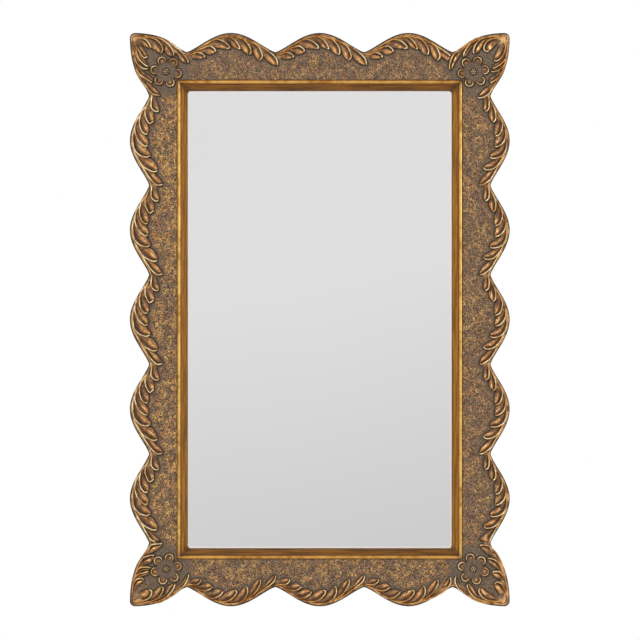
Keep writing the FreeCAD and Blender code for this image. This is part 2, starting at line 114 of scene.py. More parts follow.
# Leaves of one spray on each side: the middle line of the rim from root to tip, then the inner edge
# between them. Each point is a share of the pitch along the flow and a share of the crest height down.
spray_shares = {
    "top": (
        (((0.054, 1.13), (0.112, 1.03), (0.169, 1.08), (0.205, 1.21), (0.190, 1.295)),
         ((0.061, 1.285), (0.091, 1.38), (0.162, 1.37))),
        (((0.155, 0.85), (0.248, 0.70), (0.291, 0.75), (0.327, 0.915), (0.312, 1.0)),
         ((0.196, 1.02), (0.249, 1.155), (0.307, 1.087))),
        (((0.248, 0.52), (0.327, 0.353), (0.414, 0.436), (0.471, 0.65), (0.485, 0.785), (0.442, 0.83)),
         ((0.249, 0.686), (0.328, 0.806), (0.428, 0.847))),
        (((0.414, 0.217), (0.485, 0.217), (0.535, 0.353), (0.578, 0.58), (0.60, 0.816), (0.578, 0.837)),
         ((0.494, 0.556), (0.523, 0.754), (0.572, 0.837))),
        (((0.529, 0.186), (0.629, 0.316), (0.686, 0.55), (0.722, 0.847), (0.722, 1.08), (0.70, 1.15)),
         ((0.615, 0.82), (0.645, 1.02), (0.687, 1.14))),
        (((0.665, 0.353), (0.758, 0.55), (0.808, 0.717), (0.844, 1.014), (0.852, 1.28), (0.816, 1.46)),
         ((0.73, 0.686), (0.752, 1.087), (0.788, 1.353))),
        (((0.808, 0.618), (0.916, 0.946), (0.98, 1.18), (1.016, 1.415), (1.027, 1.70)),
         ((0.866, 1.22), (0.917, 1.52), (0.975, 1.67))),
    ),
    "bottom": (
        (((0.027, 1.15), (0.087, 1.13), (0.132, 1.18), (0.159, 1.32), (0.159, 1.425)),
         ((0.05, 1.32), (0.072, 1.44), (0.132, 1.46))),
        (((0.095, 0.94), (0.17, 0.837), (0.23, 0.837), (0.275, 0.94), (0.294, 1.045)),
         ((0.125, 1.045), (0.177, 1.15), (0.238, 1.23))),
        (((0.185, 0.592), (0.253, 0.45), (0.32, 0.45), (0.38, 0.592), (0.414, 0.80)),
         ((0.208, 0.696), (0.283, 0.837), (0.343, 0.92))),
        (((0.335, 0.28), (0.418, 0.243), (0.493, 0.347), (0.545, 0.556), (0.565, 0.764), (0.538, 0.868)),
         ((0.343, 0.384), (0.41, 0.63), (0.463, 0.764), (0.523, 0.868))),
        (((0.447, 0.15), (0.538, 0.15), (0.613, 0.24), (0.666, 0.488), (0.689, 0.764), (0.68, 1.01),
          (0.658, 1.045)),
         ((0.508, 0.243), (0.56, 0.556), (0.613, 0.837), (0.65, 1.02))),
        (((0.68, 0.384), (0.756, 0.63), (0.80, 0.905), (0.83, 1.15), (0.835, 1.337), (0.816, 1.41)),
         ((0.689, 0.488), (0.703, 0.80), (0.748, 1.15), (0.80, 1.358))),
        (((0.70, 0.36), (0.76, 0.50), (0.824, 0.733), (0.92, 1.045), (0.981, 1.285), (1.004, 1.53),
          (0.993, 1.618)),
         ((0.861, 0.98), (0.906, 1.285), (0.973, 1.597))),
    ),
    "left": (
        (((0.0, 1.16), (0.065, 1.12), (0.112, 1.106), (0.142, 1.15), (0.173, 1.30), (0.175, 1.455),
          (0.159, 1.517)),
         ((0.037, 1.39), (0.099, 1.486), (0.152, 1.55))),
        (((0.152, 0.80), (0.22, 0.81), (0.282, 0.918), (0.312, 1.043), (0.295, 1.168), (0.274, 1.267)),
         ((0.152, 1.168), (0.22, 1.267), (0.268, 1.272))),
        (((0.187, 0.585), (0.267, 0.507), (0.335, 0.52), (0.397, 0.63), (0.43, 0.824), (0.417, 0.95)),
         ((0.282, 0.856), (0.335, 0.98), (0.397, 1.01))),
        (((0.288, 0.32), (0.376, 0.257), (0.43, 0.304), (0.491, 0.413), (0.532, 0.57), (0.565, 0.824),
          (0.545, 0.95)),
         ((0.444, 0.824), (0.497, 0.98), (0.539, 0.98))),
        (((0.376, 0.194), (0.47, 0.15), (0.572, 0.20), (0.62, 0.304), (0.667, 0.538), (0.687, 0.856),
          (0.667, 1.09)),
         ((0.579, 0.887), (0.627, 1.043), (0.662, 1.12))),
        (((0.647, 0.29), (0.714, 0.444), (0.789, 0.70), (0.829, 0.98), (0.85, 1.267), (0.837, 1.455)),
         ((0.70, 1.106), (0.749, 1.33), (0.802, 1.455))),
        (((0.69, 0.39), (0.775, 0.62), (0.87, 0.88), (0.944, 1.13), (0.999, 1.43), (0.989, 1.74)),
         ((0.857, 1.236), (0.904, 1.486), (0.965, 1.705))),
    ),
    "right": (
        (((0.0, 1.147), (0.056, 1.08), (0.123, 1.08), (0.161, 1.147), (0.176, 1.29)),
         ((0.02, 1.25), (0.056, 1.355), (0.146, 1.376))),
        (((0.072, 0.96), (0.146, 0.80), (0.206, 0.73), (0.273, 0.76), (0.299, 0.886)),
         ((0.13, 0.99), (0.198, 1.116), (0.257, 1.043))),
        (((0.243, 0.48), (0.31, 0.38), (0.369, 0.40), (0.429, 0.522), (0.455, 0.767)),
         ((0.27, 0.66), (0.34, 0.80), (0.414, 0.82))),
        (((0.38, 0.21), (0.444, 0.21), (0.496, 0.27), (0.541, 0.418), (0.567, 0.626), (0.57, 0.782)),
         ((0.42, 0.50), (0.474, 0.73), (0.548, 0.803))),
        (((0.47, 0.16), (0.53, 0.16), (0.592, 0.19), (0.637, 0.27), (0.667, 0.386), (0.693, 0.626),
          (0.70, 0.907), (0.682, 1.043)),
         ((0.592, 0.626), (0.63, 0.907), (0.667, 1.043))),
        (((0.65, 0.31), (0.712, 0.43), (0.771, 0.61), (0.809, 0.803), (0.827, 1.043), (0.827, 1.25),
          (0.801, 1.39)),
         ((0.726, 0.907), (0.764, 1.22), (0.79, 1.37))),
        (((0.74, 0.49), (0.80, 0.64), (0.86, 0.80), (0.921, 0.96), (0.965, 1.183), (0.999, 1.46),
          (0.991, 1.584)),
         ((0.86, 1.183), (0.921, 1.46), (0.972, 1.584))),
    ),
}

# The last leaf of a side's last spray, cut short where the corner's leaflets meet it
end_leaf_shares = {
    "top": (((0.752, 0.53), (0.82, 0.712), (0.893, 0.931), (0.95, 1.118), (0.978, 1.228)),
            ((0.865, 1.233), (0.91, 1.405), (0.946, 1.483))),
    "bottom": (((0.76, 0.43), (0.865, 0.682), (0.922, 0.88), (0.962, 1.115), (0.976, 1.323), (0.97, 1.53)),
               ((0.842, 0.84), (0.892, 1.135), (0.93, 1.349), (0.955, 1.50))),
    "left": (((0.76, 0.583), (0.849, 0.79), (0.933, 1.016), (0.963, 1.146), (0.972, 1.34)),
             ((0.877, 1.13), (0.933, 1.417), (0.968, 1.60))),
    "right": (((0.777, 0.557), (0.844, 0.74), (0.911, 0.906), (0.955, 1.01), (0.985, 1.036)),
              ((0.872, 1.18), (0.92, 1.44), (0.955, 1.56), (0.978, 1.39))),
}

# Corner leaflets, as the photo shows them: the middle line of the rim from root to tip, then the inner
# edge, in the photo's pixels. Those across spring along the top or bottom edge, those down along the side.
leaflet_pixels = {
    "top_left": {
        "across": (
            (((137.5, 37.9), (142.7, 38.6), (146.1, 40), (149.2, 43.8), (150.7, 46.9), (150.3, 48.4)),
             ((137.3, 40.7), (142.7, 45), (147.6, 48))),
            (((144.2, 37.3), (150.3, 37.5), (156.4, 40), (159.5, 42.7), (161.8, 46.1), (162.6, 49.5),
              (161.8, 52.2), (159.9, 53.4)),
             ((151.8, 48.4), (154.9, 50.7), (158.7, 53.6))),
            (((152.2, 37.3), (159.5, 38.7), (165.6, 41.9), (169.4, 45.3), (172.1, 49.2), (173.7, 53),
              (173.7, 56.4)),
             ((163.7, 44.6), (164.5, 50.3), (166.8, 54.9), (170.6, 56.6))),
            (((159.5, 38.4), (167.9, 40.9), (173, 45), (178.4, 49), (183, 53.8), (186.6, 58.4),
              (188.4, 61.8), (186.7, 63.3)),
             ((175.2, 53.4), (179, 58.7), (182.8, 62.6), (185.7, 63.6))),
        ),
        "down": (
            (((135.9, 46), (139, 51), (142, 55.6), (144.2, 57.8), (146.6, 57.2), (147.2, 55.8)),
             ((138.4, 43), (143, 48), (146.2, 53.5))),
            (((136.3, 47), (137.3, 54.9), (140, 60.3), (143.4, 63.7), (146.5, 66), (148.6, 66)),
             ((139, 51), (142.5, 57), (147, 62.5))),
            (((134, 54), (135.8, 61), (138.1, 64.9), (141.9, 67.9), (145.7, 69.1), (148.4, 68.3)),
             ((137, 59.5), (140.5, 64), (144.5, 66.8))),
            (((135.8, 66), (137.8, 71), (141, 75.6), (147.6, 79.8), (152, 83)),
             ((141, 70), (146, 73.5), (151, 77), (153.2, 80.5))),
            (((137.9, 73.8), (143.6, 83.9), (149.2, 90.6), (153.4, 94.3), (160.3, 95.6)),
             ((144, 75.4), (148.5, 80.7), (153.6, 86.8), (157.8, 91.2), (159.8, 94))),
        ),
    },
    "top_right": {
        "across": (
            (((500.8, 37.6), (494, 38.6), (488, 40.7), (484.7, 45), (483.8, 48.3), (484.7, 50.6),
              (487, 51.6), (489.3, 50.8)),
             ((501.3, 41), (496.9, 44.4), (493.5, 47.8), (490.6, 50.2))),
            (((498, 36.6), (490.2, 37), (483.6, 38.2), (479.1, 40.8), (475.8, 44.4), (473.8, 48.3),
              (473.3, 52.2), (474.7, 53.9)),
             ((486, 40.6), (483.6, 44.4), (481.3, 48.3), (479.1, 51.7), (476.5, 53.8))),
            (((479, 39.4), (471, 43.4), (466.5, 48.5), (463.8, 54), (463.6, 57.2)),
             ((474, 44), (470.2, 49), (467.5, 54), (465.5, 57))),
            (((475.8, 38.6), (470.2, 42.3), (464.7, 45.8), (459.1, 49.6), (454.7, 53.6), (451.5, 58.3),
              (449.9, 63.3), (449.4, 67.8), (450.5, 70.6)),
             ((464.7, 49.4), (460.8, 54.4), (457.4, 60), (454.1, 65.6), (452, 69.6))),
        ),
        "down": (
            (((506.1, 43.9), (505.2, 49.4), (503.6, 54.4), (500.8, 58.3), (498, 60.6), (495.2, 61.1),
              (494.2, 59.5)),
             ((502.6, 42), (498.4, 48), (495.8, 53.5), (494.4, 57.4))),
            (((507, 53.5), (505.4, 59), (502.4, 62.8), (498, 66), (494, 68.2), (491.9, 67.6)),
             ((504, 57.5), (500, 61.5), (495.5, 63.8), (492.5, 66.1))),
            (((506.2, 60), (503.6, 66), (499, 70), (494, 71.8), (490.8, 71.6)),
             ((503, 63.5), (498.5, 67.5), (494.5, 69.5))),
            (((504.6, 66), (502.2, 73), (498, 78), (494, 81), (489.8, 83)),
             ((501, 71), (496, 74.5), (491, 77.5), (488.8, 80.7))),
            (((502.4, 71.1), (498.4, 78.3), (494.8, 84.4), (491.6, 90), (488, 94.4), (483.6, 97.2),
              (479.1, 98), (477.4, 97)),
             ((493, 82.5), (489, 86), (484, 89), (480.5, 93), (478.3, 95.8))),
        ),
    },
    "bottom_left": {
        "across": (
            (((133, 601.6), (141, 600.8), (147, 599.3), (150.5, 596.5), (151.7, 593), (151.3, 590.6),
              (149, 589.6)),
             ((134, 598.5), (138.5, 593.9), (143.5, 590.6), (147, 589.7))),
            (((146, 602.3), (152, 601), (157.5, 598.4), (160.8, 595), (163, 590.5), (163, 587.4),
              (161, 586.4)),
             ((150, 599), (152, 593.5), (155, 590), (159, 587.2))),
            (((155, 602.2), (162, 599.6), (168, 595.6), (172, 591), (174.5, 586), (175, 583.5)),
             ((161, 598), (165, 592), (167, 587), (171, 584.5))),
            (((160.6, 602), (167.4, 598.4), (173.8, 594.6), (179.6, 590), (184.4, 584.9), (187.3, 580),
              (188.6, 576.1), (188.2, 573.3)),
             ((172, 592.2), (178, 586.7), (183, 581.2), (186, 576))),
        ),
        "down": (
            (((132.4, 590), (133.5, 584), (135.9, 580), (139, 578.4), (142.5, 578.5), (143.8, 580.7)),
             ((134.6, 591), (137.5, 586.6), (140.5, 583.6), (142.8, 582))),
            (((133.4, 580), (135.8, 576.2), (139.5, 573.9), (145, 572.4), (148.7, 571.1)),
             ((135.8, 580), (140, 577.4), (145.5, 575.3), (148.8, 573.4))),
            (((135.8, 573), (138.5, 569), (142, 567.2), (146.5, 567), (151.3, 567.8)),
             ((138, 573), (143, 571), (148, 570.2))),
            (((138, 566), (141, 560.5), (144.2, 557.3), (149.2, 555.6), (154.7, 555)),
             ((141, 566), (146, 564.6), (151, 562.5), (154.2, 558.5))),
            (((141.2, 560), (144.6, 553.9), (147.8, 548.6), (151.4, 544.9), (156.5, 543.9), (162.6, 543.5)),
             ((146, 556), (152, 553), (158, 549.5), (162, 546))),
        ),
    },
    "bottom_right": {
        "across": (
            (((501.3, 601.6), (492.4, 601), (485.8, 599.4), (481.3, 596.1), (479.1, 592.2),
              (478.8, 589.4), (480.2, 588.1)),
             ((500, 598.5), (494.5, 596.6), (489.5, 593.4), (484.5, 589.8), (481.8, 588.1))),
            (((491, 602), (483.6, 600.6), (475.8, 598), (471.9, 595), (469.1, 591.1), (467.4, 587.2),
              (466.9, 583.9)),
             ((479, 596.8), (476, 592), (473, 587), (469.5, 583.6))),
            (((482, 602.4), (474.6, 599.8), (468.6, 596.2), (462.4, 591.8), (457.8, 587.4),
              (455.4, 583.3), (455, 579.4), (455.9, 576.3)),
             ((468, 593.5), (463, 588.5), (458.9, 583.3), (457.2, 578.5))),
        ),
        "down": (
            (((506.1, 591.7), (504.1, 587.8), (501.7, 584.1), (499.1, 582.3), (496.9, 582),
              (495.2, 583.1), (494.4, 585)),
             ((502.5, 598), (498.9, 593.9), (496.3, 589.7), (494.9, 586.9))),
            (((505.2, 578.9), (503, 575.6), (500, 572.4), (496.9, 571.4), (493.6, 571.7), (492, 572.8)),
             ((503, 580), (498.5, 579), (494.5, 576.5), (492.7, 574.5))),
            (((502, 570), (499.5, 564.5), (495.5, 560.2), (491, 558.5), (487.3, 558.3)),
             ((499, 570), (494.5, 567.5), (490, 564), (487.8, 560.8))),
            (((501.4, 562.2), (498, 555.8), (494.4, 551), (490.2, 547), (485.8, 545.2), (481.3, 545),
              (479.3, 546)),
             ((497, 561), (492, 557), (486, 553.5), (481.5, 548.7))),
        ),
    },
}

# The photo's size in pixels, millimetres a pixel, and the mirror's middle in the photo
photo_pixels = 640
pixel_size = 1.875
centre_pixel_x, centre_pixel_y = 319.75, 319.6


def place(side, along, out, depth):
    """Points in the frame's axes, from places along one side and out from the centre."""
    along, out, depth = np.broadcast_arrays(along, out, depth)
    spots = {"top": (along, out), "bottom": (along, -out), "left": (-out, along), "right": (out, along)}
    x, z = spots[side]
    return np.stack([x, depth, z], axis=-1).astype(float)


def smoothstep(low, high, value):
    """An eased rise from 0 at one value to 1 at another."""
    share = np.clip((value - low) / (high - low), 0.0, 1.0)
    return share * share * (3 - 2 * share)


def bell(value, middle, width):
    """A smooth hump of height one."""
    return np.exp(-(((value - middle) / width) ** 2))


def sizes(rows):
    """The length of each row's vector."""
    return np.linalg.norm(rows, axis=1)


def sample(at, marks, points):
    """Points read off a line at given marks along it."""
    return np.stack([np.interp(at, marks, points[:, axis]) for axis in (0, 1)], axis=1)


def distances(points):
    """How far along its line each point lies."""
    return np.concatenate([[0], np.cumsum(sizes(np.diff(points, axis=0)))])


def through(points, count):
    """A smooth curve through points, sampled evenly between them."""
    points = np.array(points, float)
    padded = np.vstack([2 * points[0] - points[1], points, 2 * points[-1] - points[-2]])
    share = np.linspace(0, 1, count, endpoint=False)[:, None]
    samples = []
    for index in range(len(points) - 1):
        before, start, end, after = padded[index:index + 4]
        samples.append(0.5 * (
            2 * start
            + (end - before) * share
            + (2 * before - 5 * start + 4 * end - after) * share**2
            + (3 * start - before - 3 * end + after) * share**3
        ))
    return np.vstack(samples + [points[-1:]])


def corner_half_edge(side):
    """The outline from a valley to the corner's tip, along and out."""
    valley = side.half_along - side.corner_span
    low = side.half_out - crest_height
    turn_start = side.half_along - corner_radius
    scale = (side.corner_span, crest_height)
    points = (valley, low) + np.array(corner_edge_shares) * scale
    edge = through([*points, (turn_start, side.half_out)], corner_edge_samples)
    angle = np.linspace(0, math.pi / 4, corner_arc_samples)[1:]
    along = turn_start + corner_radius * np.sin(angle)
    out = side.half_out - corner_radius * (1 - np.cos(angle))
    return np.vstack([edge, np.stack([along, out], axis=1)])


def outline(side):
    """The scalloped edge of one side from corner tip to corner tip, at an even step, with inward normals."""
    corner = corner_half_edge(side)
    first = side.corner_span - side.half_along
    pitch = -2 * first / side.crests
    share = np.linspace(0, side.crests, side.crests * crest_samples, endpoint=False)
    rise = crest_height * np.abs(np.sin(np.pi * share)) ** crest_power
    crests = np.stack([first + share * pitch, side.half_out - crest_height + rise], axis=1)
    dense = np.vstack([corner[::-1] * (-1, 1), crests[1:], corner])
    length = distances(dense)
    count = int(round(length[-1] / grid_step))
    points = sample(np.linspace(0, length[-1], count + 1), length, dense)
    heading = np.gradient(points, axis=0)
    smooth = np.copy(heading)
    smooth[2:-2] = sum(heading[shift:len(heading) - 4 + shift] for shift in range(5))
    smooth /= sizes(smooth)[:, None]
    normals = np.stack([smooth[:, 1], -smooth[:, 0]], axis=1)
    diagonal = math.sqrt(0.5)
    normals[0] = (diagonal, -diagonal)
    normals[-1] = (-diagonal, -diagonal)
    return points, normals


def grid_faces(rows, columns, ring=True, start=0):
    """Faces over a grid of points stored row by row, its underside unless it is a ring, and its ends."""
    near = start + np.arange(rows - 1)[:, None] * columns
    column = np.arange(columns if ring else columns - 1)[None, :]
    following = (column + 1) % columns
    far = near + columns
    quads = np.stack([near + column, near + following, far + following, far + column], axis=-1)
    faces = quads.reshape(-1, 4).tolist()
    if not ring:
        faces += np.hstack([near, far, far + columns - 1, near + columns - 1]).tolist()
    last = start + (rows - 1) * columns
    return faces + [list(range(start, start + columns)), list(range(last + columns - 1, last - 1, -1))]


def make_piece(name, points, faces, material, values, node):
    """A smooth-shaded piece from points in millimetres, in place of a node of the frame."""
    mesh = bpy.data.meshes.new(name)
    mesh.from_pydata((np.array(points) * MM).tolist(), [], faces)
    mesh.validate()
    for key, array in values.items():
        layer = mesh.attributes.new(key, "FLOAT", "POINT")
        layer.data.foreach_set("value", np.array(array, np.float32))
    mesh.shade_smooth()
    piece = bpy.data.objects.new(name, mesh)
    bpy.context.scene.collection.objects.link(piece)
    mesh.materials.append(material)
    shape = bmesh.new()
    shape.from_mesh(mesh)
    bmesh.ops.recalc_face_normals(shape, faces=shape.faces)
    shape.to_mesh(mesh)
    shape.free()
    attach(piece, "frame")
    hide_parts(node)
    return piece


def display_colour(red, green, blue):
    """A colour written in 0 to 255 display values."""
    def linear(value):
        share = value / 255
        return share / 12.92 if share <= 0.04045 else ((share + 0.055) / 1.055) ** 2.4
    return (linear(red), linear(green), linear(blue), 1.0)


class Nodes:
    """A short way to write a node tree. Colours of three numbers are display values."""

    def __init__(self, tree):
        self.tree = tree

    def put(self, socket, value):
        if isinstance(value, bpy.types.NodeSocket):
            self.tree.links.new(value, socket)
        elif socket.type == "RGBA" and len(value) == 3:
            socket.default_value = display_colour(*value)
        else:
            socket.default_value = value

    def add(self, kind, values=(), output=0, **options):
        """A node with its options and values: values in the order of its inputs, or by name or number."""
        made = self.tree.nodes.new(kind)
        for key, value in options.items():
            setattr(made, key, value)
        for key, value in values.items() if isinstance(values, dict) else enumerate(values):
            self.put(made.inputs[key], value)
        return made.outputs[output]

    def math(self, operation, first, second, clamp=False):
        return self.add("ShaderNodeMath", (first, second), operation=operation, use_clamp=clamp)

    def times(self, first, *others, clamp=False):
        for other in others:
            first = self.math("MULTIPLY", first, other, clamp)
        return first

    def spread(self, value, low, high, to_low=0.0, to_high=1.0):
        """A value mapped from one range to another, clamped and eased."""
        limits = (value, low, high, to_low, to_high)
        return self.add("ShaderNodeMapRange", limits, interpolation_type="SMOOTHSTEP")

    def blend(self, share, first, second):
        """One number faded into another."""
        return self.add("ShaderNodeMix", {0: share, 2: first, 3: second})

    def mix(self, share, first, second, way="MIX"):
        """One colour faded into another."""
        return self.add("ShaderNodeMix", {0: share, 6: first, 7: second}, 2, data_type="RGBA", blend_type=way)

    def tone(self, pattern, low, high, first, second):
        """From the first colour to the second as a pattern rises."""
        return self.mix(self.spread(pattern, low, high), first, second)

    def over(self, tint, colour, *shares, clamp=False):
        """A colour laid over a tint, as strong as the shares' product."""
        return self.mix(self.times(*shares, clamp=clamp), tint, colour)


class Shader(Nodes):
    """A procedural material: noise, cells and the values kept on a piece's points."""

    def __init__(self, name):
        self.material = bpy.data.materials.new(name)
        self.material.use_nodes = True
        self.surface = self.material.node_tree.nodes["Principled BSDF"]
        super().__init__(self.material.node_tree)

    def laid(self, stretch):
        where = self.add("ShaderNodeTexCoord", output="Object")
        return self.add("ShaderNodeMapping", {"Vector": where, "Scale": stretch, "Rotation": texture_turn})

    def noise(self, scale, detail=3.0, roughness=0.55, stretch=(1, 1, 1), distortion=0.0):
        return self.add("ShaderNodeTexNoise", {
            "Vector": self.laid(stretch), "Scale": scale, "Detail": detail,
            "Roughness": roughness, "Distortion": distortion,
        })

    def cells(self, scale, output="Distance"):
        return self.add("ShaderNodeTexVoronoi", {"Vector": self.laid((1, 1, 1)), "Scale": scale}, output)

    def value(self, name):
        return self.add("ShaderNodeAttribute", output="Fac", attribute_name=name)

    def bump(self, height, strength, distance):
        return self.add("ShaderNodeBump", {"Height": height, "Strength": strength, "Distance": distance * MM})

    def done(self, **inputs):
        for key, value in inputs.items():
            self.put(self.surface.inputs[key.replace("_", " ")], value)
        return self.material


def ground_material():
    """Pebbled bronze-brown gesso flecked with gold, with painted shade round the ornaments, at the rim's foot
    and at the lip, over raw wood at the back.
    """
    s = Shader("antique_ground")
    flecked = s.value("fleck")
    relief = s.value("relief")
    band = s.value("band")
    tint = s.tone(s.noise(34, 4, 0.6), 0.35, 0.65, (86, 71, 62), (101, 80, 64))
    tint = s.over(tint, (108, 96, 88), s.spread(flecked, 0.0, 0.4, 0.55, 0.0))
    green = s.spread(s.noise(380, 2, 0.6), 0.50, 0.58)
    tint = s.over(tint, (88, 94, 52), green, 0.85)
    rose = s.spread(s.noise(400, 2, 0.5), 0.51, 0.58)
    tint = s.over(tint, (146, 86, 84), rose, s.spread(flecked, 0.0, 0.5, 0.35, 0.75))
    grit = s.noise(540, 2, 0.6)
    busy = s.spread(flecked, 0.0, 1.0, 0.45, 1.0)
    tint = s.over(tint, (54, 38, 20), s.spread(grit, 0.40, 0.51, 1.0, 0.0), busy)
    tint = s.over(tint, (156, 132, 104), s.spread(grit, 0.52, 0.62, 0.0, 0.8), busy)
    fine_fleck = s.spread(s.noise(540, 2, 0.5, distortion=0.8), 0.51, 0.54)
    broad_fleck = s.spread(s.noise(270, 3, 0.6, distortion=0.8), 0.54, 0.58)
    clump = s.spread(s.noise(60, 3, 0.6), 0.42, 0.56, 0.12, 1.0)
    raised = s.spread(relief, 0.25, 0.75, 0.35, 1.0)
    fleck = s.times(s.math("MAXIMUM", fine_fleck, s.times(broad_fleck, 0.6)), clump, flecked, raised)
    gold = s.tone(s.noise(200, 2), 0.42, 0.58, (198, 130, 64), (228, 186, 116))
    gold = s.over(gold, (172, 152, 84), s.spread(s.noise(230, 2, 0.5), 0.52, 0.62, 0.0, 0.6))
    tint = s.over(tint, gold, fleck)
    tint = s.over(tint, (64, 44, 26), s.spread(relief, 0.0, 0.30, 0.55, 0.0))
    # Painted shade round the ornaments, at the rim's foot and where the ground meets the liner
    tint = s.over(tint, (42, 30, 20), s.value("patina_and_shade"), 0.92)
    tint = s.over(tint, s.tone(s.noise(60, 4, 0.65), 0.38, 0.60, (118, 84, 58), (226, 180, 126)), band)
    # The dark bronze of the side wall, carried over the outer part of the rounded rim as painted shade
    tint = s.over(tint, s.tone(s.noise(60, 3), 0.4, 0.6, (54, 40, 28), (76, 56, 38)), s.value("edge"))
    level_grain = s.noise(120, 5, 0.65, (0.05, 1, 1), 0.3)
    upright_grain = s.noise(120, 5, 0.65, (1, 1, 0.05), 0.3)
    grain = s.blend(s.value("upright"), level_grain, upright_grain)
    tint = s.over(tint, s.tone(grain, 0.36, 0.64, (146, 110, 72), (196, 160, 114)), s.value("raw"))
    fine = s.math("ADD", s.noise(420, 3), s.times(fleck, 0.6))
    rough = s.spread(fleck, 0.0, 1.0, 0.62, 0.40)
    metal = s.times(s.math("MAXIMUM", fleck, band), 0.45)
    return s.done(
        Base_Color=tint, Metallic=metal, Roughness=rough, Specular_IOR_Level=0.3,
        Normal=s.bump(fine, 0.5, 0.5),
    )


def leaf_material():
    """Antique gold: rubbed ridges, brown bellies with gold patches and a painted highlight, dark patina in
    the hollows, and painted shadows in the rosettes' petals.
    """
    s = Shader("antique_leaf")
    ridge = s.value("ridge")
    cloud = s.noise(110, 4, 0.6)
    body = s.tone(cloud, 0.38, 0.62, (94, 70, 50), (142, 108, 76))
    body = s.over(body, (124, 76, 54), s.spread(s.noise(95, 2, 0.5), 0.50, 0.62), 0.45)
    stone = s.tone(s.noise(240, 3, 0.6), 0.38, 0.62, (86, 72, 60), (114, 95, 78))
    hollow = s.tone(s.noise(140, 3), 0.4, 0.6, (66, 42, 26), (108, 76, 48))
    gold = s.tone(s.noise(120, 2), 0.40, 0.60, (190, 118, 50), (240, 186, 122))
    orange = s.tone(s.noise(60, 2), 0.38, 0.60, (166, 108, 50), (220, 166, 92))
    cream = s.tone(s.noise(70, 2), 0.38, 0.60, (206, 164, 106), (255, 231, 180))
    gilding = s.tone(cloud, 0.36, 0.64, (166, 100, 40), (236, 172, 92))
    rubbed = s.times(s.value("crown"), s.spread(s.noise(150, 3, 0.6), 0.47, 0.57))
    worn = s.spread(s.noise(170, 3, 0.6), 0.38, 0.54, 0.25, 1.25)
    bright = s.spread(s.noise(190, 2, 0.5), 0.40, 0.52)
    tint = s.over(hollow, body, s.value("body"))
    tint = s.over(tint, gold, rubbed)
    tint = s.over(tint, stone, s.value("stone"))
    # Gilding on the bellies, strongest where the painted highlight sits
    tint = s.over(tint, gilding, s.value("gilded"), worn, clamp=True)
    # Painted highlight: a near-white spot on each leaf's belly, broken up by noise
    tint = s.over(tint, (255, 214, 158), s.value("painted_highlight"), bright, clamp=True)
    # Dark patina in the leaves' hollows, and the painted shadows of the rosettes' petals
    tint = s.over(tint, (54, 34, 18), s.value("patina_and_shade"), 0.70)
    tint = s.over(tint, s.mix(s.value("pale"), orange, cream), ridge)
    gilt = s.times(s.math("MAXIMUM", ridge, rubbed), 0.5)
    rough = s.spread(gilt, 0.0, 0.5, 0.55, 0.32)
    fine = s.noise(380, 3, 0.6)
    return s.done(
        Base_Color=tint, Metallic=gilt, Roughness=rough, Specular_IOR_Level=0.35,
        Normal=s.bump(fine, 0.35, 0.25),
    )


def liner_material(name, stretch, bead_low, bead_high, painted_bead_highlight, cove_low, cove_high):
    """Burnished gold bead with a painted highlight along its crown, above a cove with darker streaks along
    its length, and painted shade in the hollows.
    """
    s = Shader(name)
    on_bead = s.value("bead")
    streak = s.noise(60, 4, 0.6, stretch)
    cove = s.tone(streak, 0.36, 0.64, cove_low, cove_high)
    cove = s.over(cove, (96, 66, 40), s.spread(s.noise(25, 3, 0.6), 0.55, 0.72), 0.35)
    mottle = s.math("ADD", s.times(s.noise(18, 3, 0.5), 0.5), s.times(s.noise(75, 4, 0.6), 0.5))
    tint = s.over(cove, s.tone(mottle, 0.34, 0.66, bead_low, bead_high), on_bead)
    # Painted highlight: a bright stripe along the bead's crown
    tint = s.over(tint, painted_bead_highlight, s.value("painted_bead_highlight"), s.spread(mottle, 0.36, 0.56, 0.10, 0.60))
    specks = s.times(s.spread(s.cells(190), 0.0, 0.12, 1.0, 0.0), s.spread(s.noise(40, 2), 0.52, 0.6))
    tint = s.over(tint, (74, 50, 30), specks, 0.6)
    uneven = s.spread(s.noise(110, 3, 0.6), 0.30, 0.60, 0.6, 1.25)
    # Painted shade at the bead's foot and in the gap beside it, a darker wall above the sight edge, and
    # darker mitre joints
    tint = s.over(tint, (60, 42, 28), s.value("patina_and_shade"), uneven, clamp=True)
    tint = s.over(tint, (240, 230, 220), s.value("sight"))
    metal = s.spread(on_bead, 0.0, 1.0, 0.35, 0.6)
    rough = s.spread(on_bead, 0.0, 1.0, 0.42, 0.30)
    fine = s.math("ADD", streak, s.times(s.noise(300, 3), 0.4))
    return s.done(
        Base_Color=tint, Metallic=metal, Roughness=rough, Specular_IOR_Level=0.3,
        Normal=s.bump(fine, 0.30, 0.30),
    )


def mirror_material():
    """Silvered glass with a faint haze."""
    s = Shader("silvered_glass")
    haze = s.noise(3, 2, 0.5)
    tint = s.tone(haze, 0.3, 0.7, (0.92, 0.92, 0.92, 1), (0.935, 0.935, 0.935, 1))
    return s.done(Base_Color=tint, Metallic=1.0, Roughness=s.spread(haze, 0.3, 0.7, 0.03, 0.05))


def margin_material():
    """The pale polished line round the visible pane."""
    s = Shader("polished_margin")
    tint = s.tone(s.noise(40, 2), 0.3, 0.7, (1.0, 0.965, 0.94, 1), (1.0, 0.985, 0.965, 1))
    return s.done(Base_Color=tint, Metallic=1.0, Roughness=0.08)


